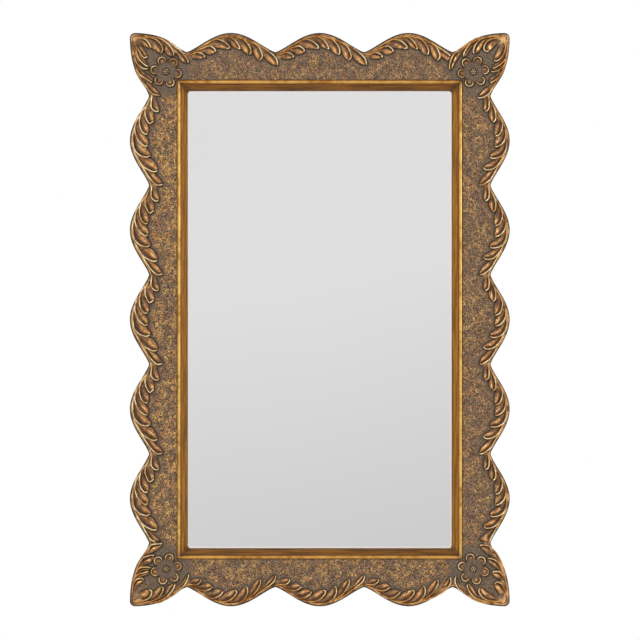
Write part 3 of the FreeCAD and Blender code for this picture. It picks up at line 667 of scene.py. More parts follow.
def board_material():
    """Brown hardboard with pale and dark fibres."""
    s = Shader("brown_hardboard")
    fibre = s.noise(500, 4, 0.7)
    tint = s.tone(s.noise(14, 5, 0.7), 0.3, 0.7, (124, 89, 60), (136, 99, 67))
    tint = s.over(tint, (170, 132, 94), s.spread(fibre, 0.52, 0.68, 0.0, 0.7))
    tint = s.over(tint, (80, 54, 34), s.spread(fibre, 0.32, 0.47, 0.6, 0.0))
    return s.done(Base_Color=tint, Roughness=0.78, Normal=s.bump(fibre, 0.4, 0.3))


def steel_material(name, low, high, roughness):
    """Plated steel: cloudy, faintly spangled and brushed."""
    s = Shader(name)
    cloud = s.noise(60, 3, 0.6)
    tint = s.mix(0.12, s.tone(cloud, 0.3, 0.7, low, high), s.cells(160, "Color"), "OVERLAY")
    brushed = s.noise(240, 3, 0.6, (1, 1, 14))
    rough = s.spread(cloud, 0.3, 0.7, roughness - 0.06, roughness + 0.08)
    return s.done(Base_Color=tint, Metallic=1.0, Roughness=rough, Normal=s.bump(brushed, 0.15, 0.1))


def rubber_material():
    """Black rubber with a little dust."""
    s = Shader("black_rubber")
    tint = s.over((38, 37, 36), (74, 72, 70), s.spread(s.noise(130, 4, 0.7), 0.5, 0.75), 0.4)
    return s.done(Base_Color=tint, Roughness=0.72, Normal=s.bump(s.noise(600, 2), 0.3, 0.15))


def beech_material():
    """Pressed beech with its grain."""
    s = Shader("pressed_beech")
    grain = s.noise(60, 4, 0.6, (1, 1, 5))
    tint = s.tone(grain, 0.3, 0.7, (190, 150, 104), (214, 178, 132))
    return s.done(Base_Color=tint, Roughness=0.7, Normal=s.bump(grain, 0.3, 0.2))


# Leaves, laid out in the plane of the frame: a rib along the rim, a belly inside it, and a stem from the edge
relief_height = ground_plane - relief_plane
ground_sink = 0.8
rib_width = 3.2
rib_columns = 9
rib_foot = 0.22
belly_gap = 0.35
belly_columns = 19
belly_start, belly_height = 0.16, 0.64
fold_across, fold_width, fold_depth = 0.72, 0.07, 0.38
# Where the painted highlight sits on each belly: along the leaf and across the belly, and how far it spreads
highlight_along, highlight_length = 0.70, 0.20
highlight_across, highlight_width = 0.58, 0.18
leaf_rows = 44
curve_samples = 30
stem_rows = 12
stem_length = 24.0
stem_inset = 4.0
corner_stem_first = 4
leaf_values = ("ridge", "pale", "body", "crown", "patina_and_shade", "stone", "gilded", "painted_highlight")

# How gilded the leaves of a spray are, one by one from its start, and the leaflets of a corner
leaf_gold_falls = (0.7, 1.0, 0.5, 0.9, 0.6, 1.0, 0.8)
leaflet_gold_falls = (1.0, 0.7, 0.2, 0.1, 0.3)

# Each side's and corner's leaves: gilding, where along it a rim turns pale, the body and the gold near
# its stem, and how dark its hollows are
LeafLook = namedtuple("LeafLook", "gold, pale_from, stem_body, stem_gold, dark")
leaf_looks = {
    "top": LeafLook(0.60, 0.25, 0.85, 0.50, 0.75),
    "bottom": LeafLook(0.62, 0.50, 0.55, 0.15, 0.78),
    "left": LeafLook(0.55, -0.20, 0.30, 0.25, 1.20),
    "right": LeafLook(0.70, 0.12, 0.20, 0.35, 1.25),
    "top_left": LeafLook(0.50, 0.15, 0.3, 0.0, 1.0),
    "top_right": LeafLook(0.75, 0.50, 0.3, 0.0, 1.10),
    "bottom_left": LeafLook(1.0, 0.35, 0.4, 0.0, 1.0),
    "bottom_right": LeafLook(1.0, 0.35, 0.4, 0.0, 1.0),
}


def along_curve(points, count):
    """A smooth curve through points, sampled evenly along its length."""
    dense = through(points, curve_samples)
    length = distances(dense)
    return sample(np.linspace(0, length[-1], count), length, dense)


def left_of(line):
    """The unit normals on the left of a line of points."""
    heading = np.gradient(line, axis=0)
    heading /= sizes(heading)[:, None]
    return np.stack([-heading[:, 1], heading[:, 0]], axis=1)


def stem_line(edge, root, first):
    """A stem's way along the edge to its leaf's root, from no further back than one of the edge's points."""
    points, normals = edge
    nearest = int(np.argmin(sizes(points - root)))
    root_inset = np.linalg.norm(points[nearest] - root)
    back = min(stem_length, max(nearest - first, 1) * grid_step)
    share = np.linspace(0, 1, stem_rows, endpoint=False)
    at = nearest - (1 - share) * back / grid_step
    inset = stem_inset + (root_inset - stem_inset) * smoothstep(0, 1, share)
    marks = np.arange(len(points))
    return sample(at, marks, points) + sample(at, marks, normals) * inset[:, None]


def leaf_curves(edge, rim, contour, first):
    """A leaf's outer edge, its rim's inner edge and its belly's edge, from the stem's start to the tip."""
    middle = along_curve(rim, leaf_rows)
    line = np.vstack([stem_line(edge, middle[0], first), middle])
    outer_side = left_of(line)
    row = np.arange(len(line))
    taper = 0.35 + 0.65 * smoothstep(0, stem_rows, row)
    taper = taper * (0.45 + 0.55 * smoothstep(0, 3, len(line) - 1 - row))
    half = (rib_width / 2 * taper)[:, None]
    outer = line + outer_side * half
    inner = line - outer_side * half
    belly = inner - outer_side * belly_gap
    ends = np.vstack([belly[stem_rows:stem_rows + 1], np.array(contour, float), belly[-1:]])
    belly[stem_rows:] = along_curve(ends, leaf_rows)
    return outer, inner, belly


def spray_leaf_curves(name, side, crest, edge):
    """Every leaf of one spray, as its three curves in x and z, and how gilded its belly is."""
    pitch = 2 * (side.half_along - side.corner_span) / side.crests
    origin = np.array([side.corner_span - side.half_along + crest * pitch, side.half_out])
    scale = np.array([pitch, -crest_height])
    leaves = list(spray_shares[name])
    if crest == side.crests - 1:
        leaves[-1] = end_leaf_shares[name]
    first = int(np.argmin(sizes(edge[0] - origin - (0.0, -crest_height))))
    curves = []
    for (rim, contour), fall in zip(leaves, leaf_gold_falls):
        lines = leaf_curves(edge, origin + np.array(rim) * scale, origin + np.array(contour) * scale, first)
        lines = [place(name, side.flow * line[:, 0], line[:, 1], 0.0)[:, (0, 2)] for line in lines]
        curves.append((lines, fall * leaf_looks[name].gold))
    return curves


def corner_leaf_curves(corner, edges):
    """Every leaflet of one corner, as its three curves in x and z, and how gilded its belly is."""
    curves = []
    for group, leaflets in leaflet_pixels[corner].items():
        turned, side_name = ((0, 1), "top") if group == "across" else ((1, 0), "left")

        def laid(pixels):
            spots = np.array(pixels) - (centre_pixel_x, centre_pixel_y)
            return np.abs(spots * pixel_size)[:, turned] * (-1, 1)

        for (rim, contour), fall in zip(leaflets, leaflet_gold_falls):
            lines = leaf_curves(edges[side_name], laid(rim), laid(contour), corner_stem_first)
            lines = [(line * (-1, 1))[:, turned] * CORNERS[corner] for line in lines]
            curves.append((lines, fall * leaf_looks[corner].gold))
    return curves


def between(first, second, share):
    """Rows of points from one line to another, by shares of the way."""
    return first[:, None, :] * (1 - share[..., None]) + second[:, None, :] * share[..., None]


def relief_depth(lift, closing):
    """Depths from shares of the relief's height, sunk into the ground where the shape closes."""
    return (ground_plane - relief_height * lift) * closing + (ground_plane + ground_sink) * (1 - closing)


def leaf_surface(outer, inner, belly, gold, look):
    """A closed leaf: a raised rib streaming in from its stem, a hollow, and a belly on its inner edge."""
    row = np.arange(len(outer))[:, None]
    stem = np.clip(row / stem_rows, 0, 1)
    along = np.clip((row - stem_rows) / (leaf_rows - 1), 0, 1)
    rib_share = ((1 - np.cos(np.linspace(0, math.pi, rib_columns))) / 2)[None, :]
    belly_share = np.linspace(0, 1, belly_columns)[None, 1:]
    width = sizes(belly - inner)[:, None]
    open_width = smoothstep(0.6, 2.0, width)
    rib = np.sqrt(np.clip(1 - (2 * rib_share - 1) ** 2, 0, 1)) + 0 * row
    height = 0.50 + 0.15 * stem + 0.35 * smoothstep(0.0, 0.35, along) - 0.25 * smoothstep(0.93, 1.0, along)
    rib_lift = np.maximum(rib * height, rib_foot * smoothstep(0.5, 1.0, rib_share) * open_width)
    swell = np.sin(math.pi * np.clip((belly_share - belly_start) / (1 - belly_start), 0, 1) ** 1.2) ** 0.85
    swell = swell * smoothstep(0.6, 3.0, width) * smoothstep(0.0, 0.16, along)
    swell = swell * (1 - smoothstep(0.90, 1.0, along))
    fold = bell(belly_share, fold_across, fold_width) * smoothstep(3.0, 6.0, width)
    fold = fold * (1 - smoothstep(0.55, 0.85, along))
    belly_floor = rib_foot * (1 - belly_share) * open_width
    belly_lift = np.maximum(belly_height * swell * (1 - fold_depth * fold), belly_floor)
    lift = np.hstack([rib_lift, belly_lift])
    closing = np.ones(lift.shape)
    closing[:, (0, -1)] = 0.0
    closing[(0, -1), :] = 0.0
    depth = relief_depth(lift, closing)
    plan = np.concatenate([between(outer, inner, rib_share), between(inner, belly, belly_share)], axis=1)
    points = np.stack([plan[..., 0], depth, plan[..., 1]], axis=-1)

    # The painted highlight's spot on each belly
    spot = bell(along, highlight_along, highlight_length) * bell(belly_share, highlight_across, highlight_width)
    parts = (swell, fold, spot * smoothstep(1.5, 4.0, width))
    swelling, folded, spot = [np.hstack([np.zeros(rib_lift.shape), part]) for part in parts]
    ridge = smoothstep(0.30, 0.75, rib) * smoothstep(0.0, 0.5, stem)
    ridge = np.hstack([ridge, np.zeros(belly_lift.shape)])
    near_stem = 1 - smoothstep(0.05, 0.35, along)
    body = np.maximum(smoothstep(0.05, 0.45, swelling), look.stem_body * near_stem)
    # Gilding on the belly, with the painted highlight spot added in
    gilded = 0.40 * smoothstep(0.15, 0.6, swelling) * smoothstep(0.15, 0.75, along) + spot
    gilded = np.clip(np.maximum(gold * gilded, look.stem_gold * near_stem), 0, 1)
    worn = (1 - np.maximum(ridge, body)) * (0.35 + 0.65 * smoothstep(0.1, 0.5, along))
    worn = np.maximum(worn, 0.6 * folded)
    values = {
        "ridge": ridge,
        "pale": smoothstep(look.pale_from, look.pale_from + 0.4, along),
        "painted_highlight": gold * smoothstep(0.55, 0.95, spot) * (1 - folded),
        "body": body * (1 - ridge),
        "crown": smoothstep(0.55, 0.95, swelling) * smoothstep(0.25, 0.60, along) * (1 - ridge),
        "patina_and_shade": np.clip(look.dark * worn + 0.6 * (look.dark - 1) * (1 - spot) * (1 - ridge), 0, 1),
        "gilded": gilded * (1 - ridge) * (1 - folded),
    }
    return points, values


def build_ornament(name, surfaces, ring, node):
    """One piece from closed grids of points with their values."""
    points = []
    faces = []
    values = {key: [] for key in leaf_values}
    start = 0
    for grid, made in surfaces:
        rows, columns = grid.shape[:2]
        points.append(grid.reshape(-1, 3))
        faces += grid_faces(rows, columns, ring, start)
        start += rows * columns
        for key, parts in values.items():
            parts.append(np.broadcast_to(made.get(key, 0.0), (rows, columns)).reshape(-1))
    values = {key: np.concatenate(parts) for key, parts in values.items()}
    make_piece(name, np.vstack(points), faces, antique_leaf, values, node)


# Rosettes
petal_count = 6
petal_ring = 21.3
petal_radius = 9.0
petal_arc = math.radians(112)
petal_rows = 20
petal_spokes = 40
petal_lift = 0.88
button_radius = 6.4
button_rows = 20
button_spokes = 48
rosette_from_liner_x = 20.4
rosette_from_liner_z = {1: 15.6, -1: 18.4}
rosette_turn = {1: 9.0, -1: 14.0}
petal_bright_shares = {"top_left": 0.0, "top_right": 0.1, "bottom_left": 1.0, "bottom_right": 0.9}


def rosette_centre(corner):
    """A rosette's middle, and the heading of its first petal."""
    sign_x, sign_z = CORNERS[corner]
    x = sign_x * (lip_half_x + rosette_from_liner_x)
    z = sign_z * (lip_half_z + rosette_from_liner_z[sign_z])
    turn = math.radians(rosette_turn[sign_z]) * sign_x * sign_z
    return np.array([x, z]), turn


def petal_places(corner):
    """The heading and the middle of each petal of one rosette."""
    centre, turn = rosette_centre(corner)
    for index in range(petal_count):
        heading = turn + 2 * math.pi * index / petal_count
        yield heading, centre + petal_ring * np.array([math.cos(heading), math.sin(heading)])


def polar_grid(rows, spokes):
    """Shares of the way out as rows, and angles round as columns."""
    return np.linspace(0, 1, rows)[:, None], np.linspace(0, 2 * math.pi, spokes, endpoint=False)[None, :]


def petal_surface(turn, middle, bright):
    """A cupped petal: a raised crescent on its outer side round a dish that opens to the middle."""
    share, angle = polar_grid(petal_rows, petal_spokes)
    facing = np.cos(angle)
    inward = np.clip(-facing, 0, 1)
    x_local = share * petal_radius * facing * (1 + 0.45 * (facing < 0))
    z_local = share * petal_radius * np.sin(angle) * (1 - 0.28 * inward)
    span = smoothstep(-0.72, 0.10, facing)
    rim = bell(share, 0.81, 0.135) * span
    bowl = 0.02 + 0.12 * smoothstep(0.65, 0.10, share)
    folds = 0.11 * np.cos(6 * angle) * smoothstep(0.15, 0.4, share) * smoothstep(0.72, 0.50, share)
    closed_side = smoothstep(-0.65, 0.15, facing)
    lift = np.maximum(rim, (bowl + folds * closed_side) * smoothstep(1.0, 0.80, share))
    depth = relief_depth(petal_lift * lift, smoothstep(1.0, 0.95, share))
    x = middle[0] + x_local * math.cos(turn) - z_local * math.sin(turn)
    z = middle[1] + x_local * math.sin(turn) + z_local * math.cos(turn)
    ridge = smoothstep(0.30, 0.70, rim)
    # Painted shadow inside the crescent, on the dish's closed side
    foot = smoothstep(0.18, 0.46, share) * closed_side * (1 - ridge)
    outward_share = x_local / petal_radius
    brown = smoothstep(-1.10, 0.15, outward_share) * (1 - 0.5 * smoothstep(0.6, 1.0, share) * (1 - span))
    # Painted shadow: a dark ring just outside the crescent
    outer_shadow = 0.9 * smoothstep(0.90, 0.97, share) * span
    values = {
        "ridge": ridge,
        "pale": np.clip(0.30 + 0.40 * bright + 0.60 * facing, 0, 1),
        "body": (0.75 + 0.25 * bright) * brown,
        "crown": (0.55 + 0.45 * bright) * smoothstep(0.6, 0.15, share) * smoothstep(-0.5, 0.1, outward_share),
        # The painted shadows darken the petal, less on the brighter rosettes
        "patina_and_shade": np.maximum((0.95 - 0.35 * bright) * foot, outer_shadow) * (1 - ridge),
        "stone": (1 - ridge) * (1 - brown),
    }
    return np.stack([x, depth, z], axis=-1), values


def button_surface(centre):
    """The pebbled button in a rosette's middle."""
    share, angle = polar_grid(button_rows, button_spokes)
    beads = np.maximum(bell(share, 0.0, 0.26), (0.5 + 0.5 * np.cos(6 * angle)) * bell(share, 0.62, 0.20))
    lift = (0.34 + 0.34 * beads) * np.sqrt(np.clip(1 - share**3, 0, 1))
    depth = ground_plane - relief_height * lift + ground_sink * smoothstep(0.93, 1.0, share)
    x = centre[0] + button_radius * share * np.cos(angle)
    z = centre[1] + button_radius * share * np.sin(angle)
    top = smoothstep(0.45, 0.80, beads)
    values = {
        "ridge": top,
        "pale": 0.8,
        "body": 0.8 * top,
        "crown": 0.2 * top,
        "patina_and_shade": 0.35 * (1 - top) * smoothstep(0.1, 0.5, share),
        "stone": 0.4 * (1 - top),
    }
    return np.stack([x, depth, z], axis=-1), values


def rosette_parts(corner):
    """The surfaces of one rosette: its petals and its button."""
    bright = petal_bright_shares[corner]
    petals = [petal_surface(heading, middle, bright) for heading, middle in petal_places(corner)]
    return petals + [button_surface(rosette_centre(corner)[0])]


def arc_points(centre, radius, heading, reach, count):
    """Points on an arc that reaches as far on both sides of a heading."""
    angle = np.linspace(heading - reach, heading + reach, count)
    return centre + radius * np.stack([np.cos(angle), np.sin(angle)], axis=1)


def ornament_outlines(leaf_groups):
    """Points round every ornament, for the ground's wear and painted shade."""
    spots = []
    for group in leaf_groups:
        for (outer, inner, belly), gold in group:
            spots += [outer, belly]
    for corner in CORNERS:
        for heading, middle in petal_places(corner):
            spots.append(arc_points(middle, petal_radius, heading, petal_arc, 30))
        spots.append(arc_points(rosette_centre(corner)[0], button_radius * 0.9, 0.0, math.pi, 20))
    spots = np.vstack(spots)
    tree = kdtree.KDTree(len(spots))
    for index, (x, z) in enumerate(spots):
        tree.insert((x, 0.0, z), index)
    tree.balance()
    return tree


class Sweep:
    """Lines laid side by side round a section, from end to end of one side."""

    def __init__(self, side_name, keys):
        self.side_name = side_name
        self.columns = []
        self.finish = {key: [] for key in keys}

    def add(self, along, out, depth, values):
        self.columns.append(place(self.side_name, along, out, depth))
        for key, parts in self.finish.items():
            parts.append(np.broadcast_to(values.get(key, 0.0), along.shape))

    def build(self, name, material, node):
        grid = np.stack(self.columns, axis=1)
        values = {key: np.stack(parts, axis=1).reshape(-1) for key, parts in self.finish.items()}
        make_piece(name, grid.reshape(-1, 3), grid_faces(*grid.shape[:2]), material, values, node)


# The rails' section: side wall, rope-like rim, ground, lip, rabbet and back
back_inset = 2.4
edge_inset = 1.0
edge_round = 3.6
edge_round_steps = 5
edge_shade_fade = 1.5
rim_width = 5.2
rabbet_width = 7.0
ground_rows = 50
offset_reach = 8.0
pebble_height = 0.75
pebble_size = 5.2
fine_pebble_scale = 2.3
coarse_pebbles, fine_pebbles = 0.75, 0.35
tip_fill_height = 2.6

# The side wall's points, inset from the edge and in front of the back, up to just behind the rim's round
wall_points = ((0.25, 0.8), (0.0, 2.4), (0.0, 9.0), (0.0, 17.0))
wall_end = 1.6

# Where the ground's finish and painted shade fade: from tips, rosettes, the edge and ornaments, and by share
# of the way in
tip_fill = (15.0, 30.0)
corner_calm = (40.0, 56.0)
edge_gold = (9.0, 17.0)
calm_gaps = (2.0, 8.0)
fleck_gaps = (2.5, 9.0)
shade_gaps = (1.0, 2.5)
rail_end_shares = (0.965, 1.0)

# Each side's finish and painted light: how wide the painted shade on its outer edge is, and how strong the
# rest: the flecks, which also paint the top and right rails darker and the left one lighter as the light
# falls, the painted shade round the ornaments, and the gold near the edge
edge_shade_widths = {"top": 2.3, "bottom": 1.9, "left": 1.6, "right": 0.9}
fleck_and_painted_light_shares = {"top": 0.68, "bottom": 0.98, "left": 1.3, "right": 0.82}
painted_shade_shares = {"top": 1.0, "bottom": 0.78, "left": 1.0, "right": 0.95}
edge_gold_shares = {"top": 0.70, "bottom": 0.50, "left": 0.70, "right": 0.75}


def pebbles(points):
    """Worm-like pebbling of the ground, from 0 in the pits to 1 on the tops."""
    lifts = np.empty(len(points))
    turned = Euler(texture_turn).to_matrix()
    for index, point in enumerate(points):
        spot = turned @ Vector(point / pebble_size)
        coarse = noise.noise(spot, noise_basis="PERLIN_ORIGINAL")
        fine = noise.noise(spot * fine_pebble_scale, noise_basis="PERLIN_ORIGINAL")
        lifts[index] = 0.5 + coarse_pebbles * coarse + fine_pebbles * fine
    return np.clip(lifts, 0, 1)


def rail_stations(edge_shade_width):
    """Inset from the edge, depth and finish of the section's first stretch, from the back to the ground."""
    stations = [
        (back_inset, back_plane, {"raw": 1.0}),
        (edge_inset, back_plane, {"raw": 0.6, "edge": 0.4}),
    ]
    stations += [(inset, back_plane - depth, {"edge": 1.0}) for inset, depth in wall_points]
    stations.append((0.0, rim_plane + edge_round + wall_end, {"edge": 0.9}))
    for step in range(edge_round_steps + 1):
        turn = math.pi / 2 * step / edge_round_steps
        inset = edge_round * (1 - math.cos(turn))
        depth = rim_plane + edge_round * (1 - math.sin(turn))
        # The side wall's dark tone runs onto the outer part of the rounding as painted shade, as wide as
        # given for each side
        band = smoothstep(edge_shade_width, edge_shade_width + edge_shade_fade, inset)
        stations.append((inset, depth, {"edge": 1 - band, "band": band}))
    return stations + [
        (rim_width - 0.9, rim_plane + 0.25, {"band": 1.0}),
        # Painted shade at the inner foot of the rim
        (rim_width - 0.1, rim_plane + 1.3, {"band": 0.7, "patina_and_shade": 0.10}),
        (rim_width + 0.4, ground_plane - 0.2, {"band": 0.4, "patina_and_shade": 0.35}),
    ]


def lip_stations():
    """Out from the lip, depth and finish of the section's last stretch, from the ground's end to the back."""
    return [
        # Painted shade where the ground meets the liner
        (0.0, ground_plane + 0.9, {"patina_and_shade": 1.0}),
        (0.0, lip_plane, {"edge": 1.0}),
        (rabbet_width / 2, lip_plane, {"raw": 1.0}),
        (rabbet_width, lip_plane, {"raw": 1.0}),
        (rabbet_width, (lip_plane + back_plane) / 2, {"raw": 1.0}),
        (rabbet_width, back_plane, {"raw": 1.0}),
    ]


def build_rail(name, side, ornaments):
    """One carved rail: its section swept along the scalloped edge, mitred at both ends."""
    points, normals = outline(side)
    tip_along = abs(points[0, 0])
    lip_along = side.half_along - (side.half_out - side.lip_out)
    drawn_in = (tip_along - lip_along) * (points[:, 0] / tip_along) ** 3
    lip_line = np.stack([points[:, 0] - drawn_in, np.full(len(points), side.lip_out)], axis=1)
    sweep = Sweep(name, ("raw", "edge", "band", "patina_and_shade", "relief", "fleck", "upright"))

    def add(plan, depth, values):
        sweep.add(plan[:, 0], plan[:, 1], depth, {**values, "upright": float(side is upright)})

    for inset, depth, values in rail_stations(edge_shade_widths[name]):
        add(points + normals * inset, depth, values)
    start = points + normals * offset_reach
    flowers = [rosette_centre(corner)[0] for corner in CORNERS]
    for share in np.linspace(0, 1, ground_rows):
        plan = start * (1 - share) + lip_line * share
        spots = place(name, plan[:, 0], plan[:, 1], ground_plane)
        lifts = pebbles(spots)
        gaps = np.array([ornaments.find(spot * (1, 0, 1))[2] for spot in spots])
        from_tip = np.minimum(sizes(plan - points[0]), sizes(plan - points[-1]))
        from_flower = np.min([sizes(spots[:, (0, 2)] - middle) for middle in flowers], axis=0)
        calm = smoothstep(*calm_gaps, gaps)
        fleck = smoothstep(*fleck_gaps, gaps) * smoothstep(*corner_calm, from_flower)
        near_edge = 1 - smoothstep(*edge_gold, sizes(plan - points))
        filled = 1 - smoothstep(*tip_fill, from_tip)
        # Painted shade round the ornaments, weaker near the edge and none at the tips
        patina_and_shade = (1 - smoothstep(*shade_gaps, gaps)) * (1 - 0.7 * near_edge) * (1 - filled)
        rail_end = smoothstep(*rail_end_shares, share)
        height = pebble_height * (lifts - 0.5) * (0.35 + 0.65 * calm) * (1 - rail_end) * (1 - filled)
        values = {
            "relief": 0.5 + (lifts - 0.5) * (0.4 + 0.6 * calm) * (1 - filled),
            # Fleck strength per side, which also paints each rail lighter or darker as the light falls
            "fleck": fleck * fleck_and_painted_light_shares[name],
            # Painted shade, and more of it in the last rows by the lip
            "patina_and_shade": np.maximum(patina_and_shade * painted_shade_shares[name], 0.5 * rail_end),
            "band": np.maximum(filled, edge_gold_shares[name] * near_edge),
        }
        add(plan, ground_plane - height - tip_fill_height * filled, values)

    def toward_edge(out):
        """A line at a distance out from the lip, between the mitres."""
        share = out / np.maximum(start[:, 1] - side.lip_out, 1.0)
        plan = lip_line + (start - lip_line) * share[:, None]
        plan[:, 1] = side.lip_out + out
        return plan

    for out, depth, values in lip_stations():
        add(toward_edge(out), depth, values)
    for share in (0.25, 0.5, 0.75):
        plan = toward_edge(rabbet_width) * (1 - share) + (points + normals * back_inset) * share
        add(plan, back_plane, {"raw": 1.0})
    sweep.build("carved_" + name + "_rail", antique_ground, name + "_rail")


# The liner's section: pale sight edge, cove, bead, and the hidden back
sight_step, sight_rise = 1.9, 3.4
cove_plane = -29.6
cove_steps = 8
cove_bulge = 0.16
bead_gap = 0.1
bead_radius = 3.4
bead_plane = -30.0
bead_rise = 3.5
bead_steps = 10
liner_hidden = 6.0

# The pale sight edge, darker on the wall above it: out, rise from the seat, and finish
sight_edge = (
    (0.0, 0.0, {"sight": 1.0}),
    (0.8, 0.5, {"sight": 1.0}),
    (1.0, 1.8, {"patina_and_shade": 0.2}),
    (1.2, 2.8, {"patina_and_shade": 0.45}),
    (sight_step, sight_rise, {"patina_and_shade": 0.4}),
)

# The liner's corners: round at the sight edge, nearly sharp further out, and darker
sight_round, least_round = 5.4, 0.35
round_reach = 12.0
liner_samples, mitre_samples = 120, 9
mitre_dirt, mitre_dirt_width = 0.62, 7.0


def liner_profile():
    """Out from the sight edge, depth and finish, from the seat round to the back."""
    face = lip_half_x - sight_half_x
    bead_middle = face - bead_radius - bead_gap
    foot = bead_middle - bead_radius
    low = seat_plane - sight_rise
    stations = [(out, seat_plane - rise, values) for out, rise, values in sight_edge]
    for step in range(1, cove_steps + 1):
        share = step / cove_steps
        out = sight_step + (foot - sight_step) * share
        depth = low + (cove_plane - low) * (share + cove_bulge * math.sin(math.pi * share))
        # Painted shade where the cove runs into the bead
        stations.append((out, depth, {"patina_and_shade": 0.75 * smoothstep(0.84, 1.0, share)}))
    for step in range(bead_steps + 1):
        turn = math.pi * step / bead_steps
        crown = math.sin(turn)
        # Painted shade at the bead's foot, stronger on the cove's side
        darkening = 0.9 if 2 * step < bead_steps else 0.5
        values = {
            "bead": smoothstep(0.10, 0.45, crown),
            # Painted highlight along the bead's crown
            "painted_bead_highlight": smoothstep(0.80, 1.0, crown),
            "patina_and_shade": darkening * (1 - smoothstep(0.1, 0.45, crown)),
        }
        out = bead_middle - bead_radius * math.cos(turn)
        stations.append((out, bead_plane - bead_rise * crown**0.75, values))
    return stations + [
        # Painted shade in the gap between the bead and the ground
        (face - bead_gap, lip_plane, {"patina_and_shade": 1.0}),
        (face + liner_hidden, lip_plane, {}),
        (face + liner_hidden, seat_plane, {}),
    ]


def liner_line(side, out):
    """One line along a liner member, at a distance out from the sight edge, rounded at the sight corners."""
    radius = sight_round * (1 - smoothstep(0.0, round_reach, out)) + least_round
    straight_end = side.sight_along + out - radius
    straight = np.linspace(-straight_end, straight_end, liner_samples)
    arc = np.linspace(0, math.pi / 4, mitre_samples)[1:]
    bend_along = straight_end + radius * np.sin(arc)
    bend_out = side.sight_out + out - radius * (1 - np.cos(arc))
    along = np.concatenate([-bend_along[::-1], straight, bend_along])
    outs = np.concatenate([bend_out[::-1], np.full(len(straight), side.sight_out + out), bend_out])
    return along, outs


def build_liner(name, side, material):
    """One member of the sight moulding, darker towards its mitres."""
    sweep = Sweep(name, ("bead", "painted_bead_highlight", "patina_and_shade", "sight"))
    for out, depth, values in liner_profile():
        along, outs = liner_line(side, out)
        corner_dirt = mitre_dirt * bell(side.sight_along + out - np.abs(along), 0.0, mitre_dirt_width)
        # The section's painted shade, and the darker mitre joints
        darkening = np.maximum(values.get("patina_and_shade", 0.0), corner_dirt)
        sweep.add(along, outs, depth, {**values, "patina_and_shade": darkening})
    sweep.build("gilt_liner_" + name, material, "liner_" + name)


# The pane, with a pale line as wide as the margin at the sight edge
margin_width = 2.3
margin_step, silver_step = 0.10, 0.02
pane_bevel = 0.6
pane_round, bevel_round = 1.5, 1.0
pane_hidden = 2.0
loop_steps = 8


def rounded_rectangle(half_x, half_z, radius, depth):
    """A loop of points at one depth."""
    spots = []
    for sign_x, sign_z, start in ((1, 1, 0), (-1, 1, 1), (-1, -1, 2), (1, -1, 3)):
        for step in range(loop_steps + 1):
            turn = math.pi / 2 * (start + step / loop_steps)
            x = sign_x * (half_x - radius) + radius * math.cos(turn)
            z = sign_z * (half_z - radius) + radius * math.sin(turn)
            spots.append((x, depth, z))
    return spots


def build_pane(mirror, margin):
    """The pane: silvered face, the pale line at the sight edge, and its hidden border."""
    front, back = glass_low[1], glass_high[1]
    pane, sight = (glass_high[0], glass_high[2]), (sight_half_x, sight_half_z)
    loops = []
    for (half_x, half_z), grown, radius, depth in (
        (sight, -margin_width, sight_round, front + margin_step),
        (sight, pane_hidden, sight_round + pane_hidden, front + silver_step),
        (pane, -pane_bevel, bevel_round, front + silver_step),
        (pane, 0.0, pane_round, front + pane_bevel),
        (pane, 0.0, pane_round, back - pane_bevel),
        (pane, -pane_bevel, bevel_round, back),
    ):
        loops.append(rounded_rectangle(half_x + grown, half_z + grown, radius, depth))
    faces = grid_faces(len(loops), len(loops[0]))
    piece = make_piece("mirror_pane", np.vstack(loops), faces, margin, {}, "mirror_glass")
    piece.data.materials.append(mirror)
    for polygon in piece.data.polygons:
        polygon.use_smooth = False
        if len(polygon.vertices) > 4:
            polygon.material_index = 1


# The studio: the fade of the surround that the glass reflects, the lamps by name, place, size and watts,
# the floor and the camera
mirror_gradient = (-0.232, 0.0, 0.973)
fade_low, fade_high = -0.057, 0.0073
mirror_dark = 0.80
mirror_light = 0.99
world_tint = (1, 0.985, 0.965, 1)
world_strength = 0.55
lamps = (
    ("key", (-1.9, -2.4, 2.3), 1.2, 62.0),
    ("fill", (2.4, -2.6, 0.5), 1.6, 30.0),
    ("back", (0.8, 2.6, 1.6), 1.6, 40.0),
)
floor_reach, floor_level = 1.7, -0.76
camera_distance = 8.0


def studio():
    """A white surround, a dim gradient for reflections, and soft lamps."""
    world = bpy.data.worlds.new("studio")
    bpy.context.scene.world = world
    world.use_nodes = True
    world.node_tree.nodes.clear()
    s = Nodes(world.node_tree)
    direction = s.add("ShaderNodeTexCoord", output="Generated")
    height = s.add("ShaderNodeVectorMath", (direction, mirror_gradient), "Value", operation="DOT_PRODUCT")
    fade = s.add("ShaderNodeMapRange", (height, fade_low, fade_high, mirror_dark, mirror_light))
    reflected = s.add("ShaderNodeBackground", {"Strength": fade})
    soft = s.add("ShaderNodeBackground", {"Color": world_tint, "Strength": world_strength})
    seen = s.add("ShaderNodeBackground", {"Color": (1, 1, 1, 1)})
    from_camera, glossy, through_glass = [
        s.add("ShaderNodeLightPath", output=ray)
        for ray in ("Is Camera Ray", "Is Glossy Ray", "Is Transmission Ray")
    ]
    around = s.add("ShaderNodeMixShader", (s.math("MAXIMUM", glossy, through_glass), soft, reflected))
    view = s.add("ShaderNodeMixShader", (from_camera, around, seen))
    s.put(world.node_tree.nodes.new("ShaderNodeOutputWorld").inputs[0], view)
    for name, spot, size, watts in lamps:
        light = bpy.data.lights.new(name, "AREA")
        light.shape = "DISK"
        light.size = size
        light.energy = watts
        lamp = bpy.data.objects.new(name, light)
        bpy.context.scene.collection.objects.link(lamp)
        lamp.location = spot
        lamp.rotation_euler = (-Vector(spot)).to_track_quat("-Z", "Y").to_euler()


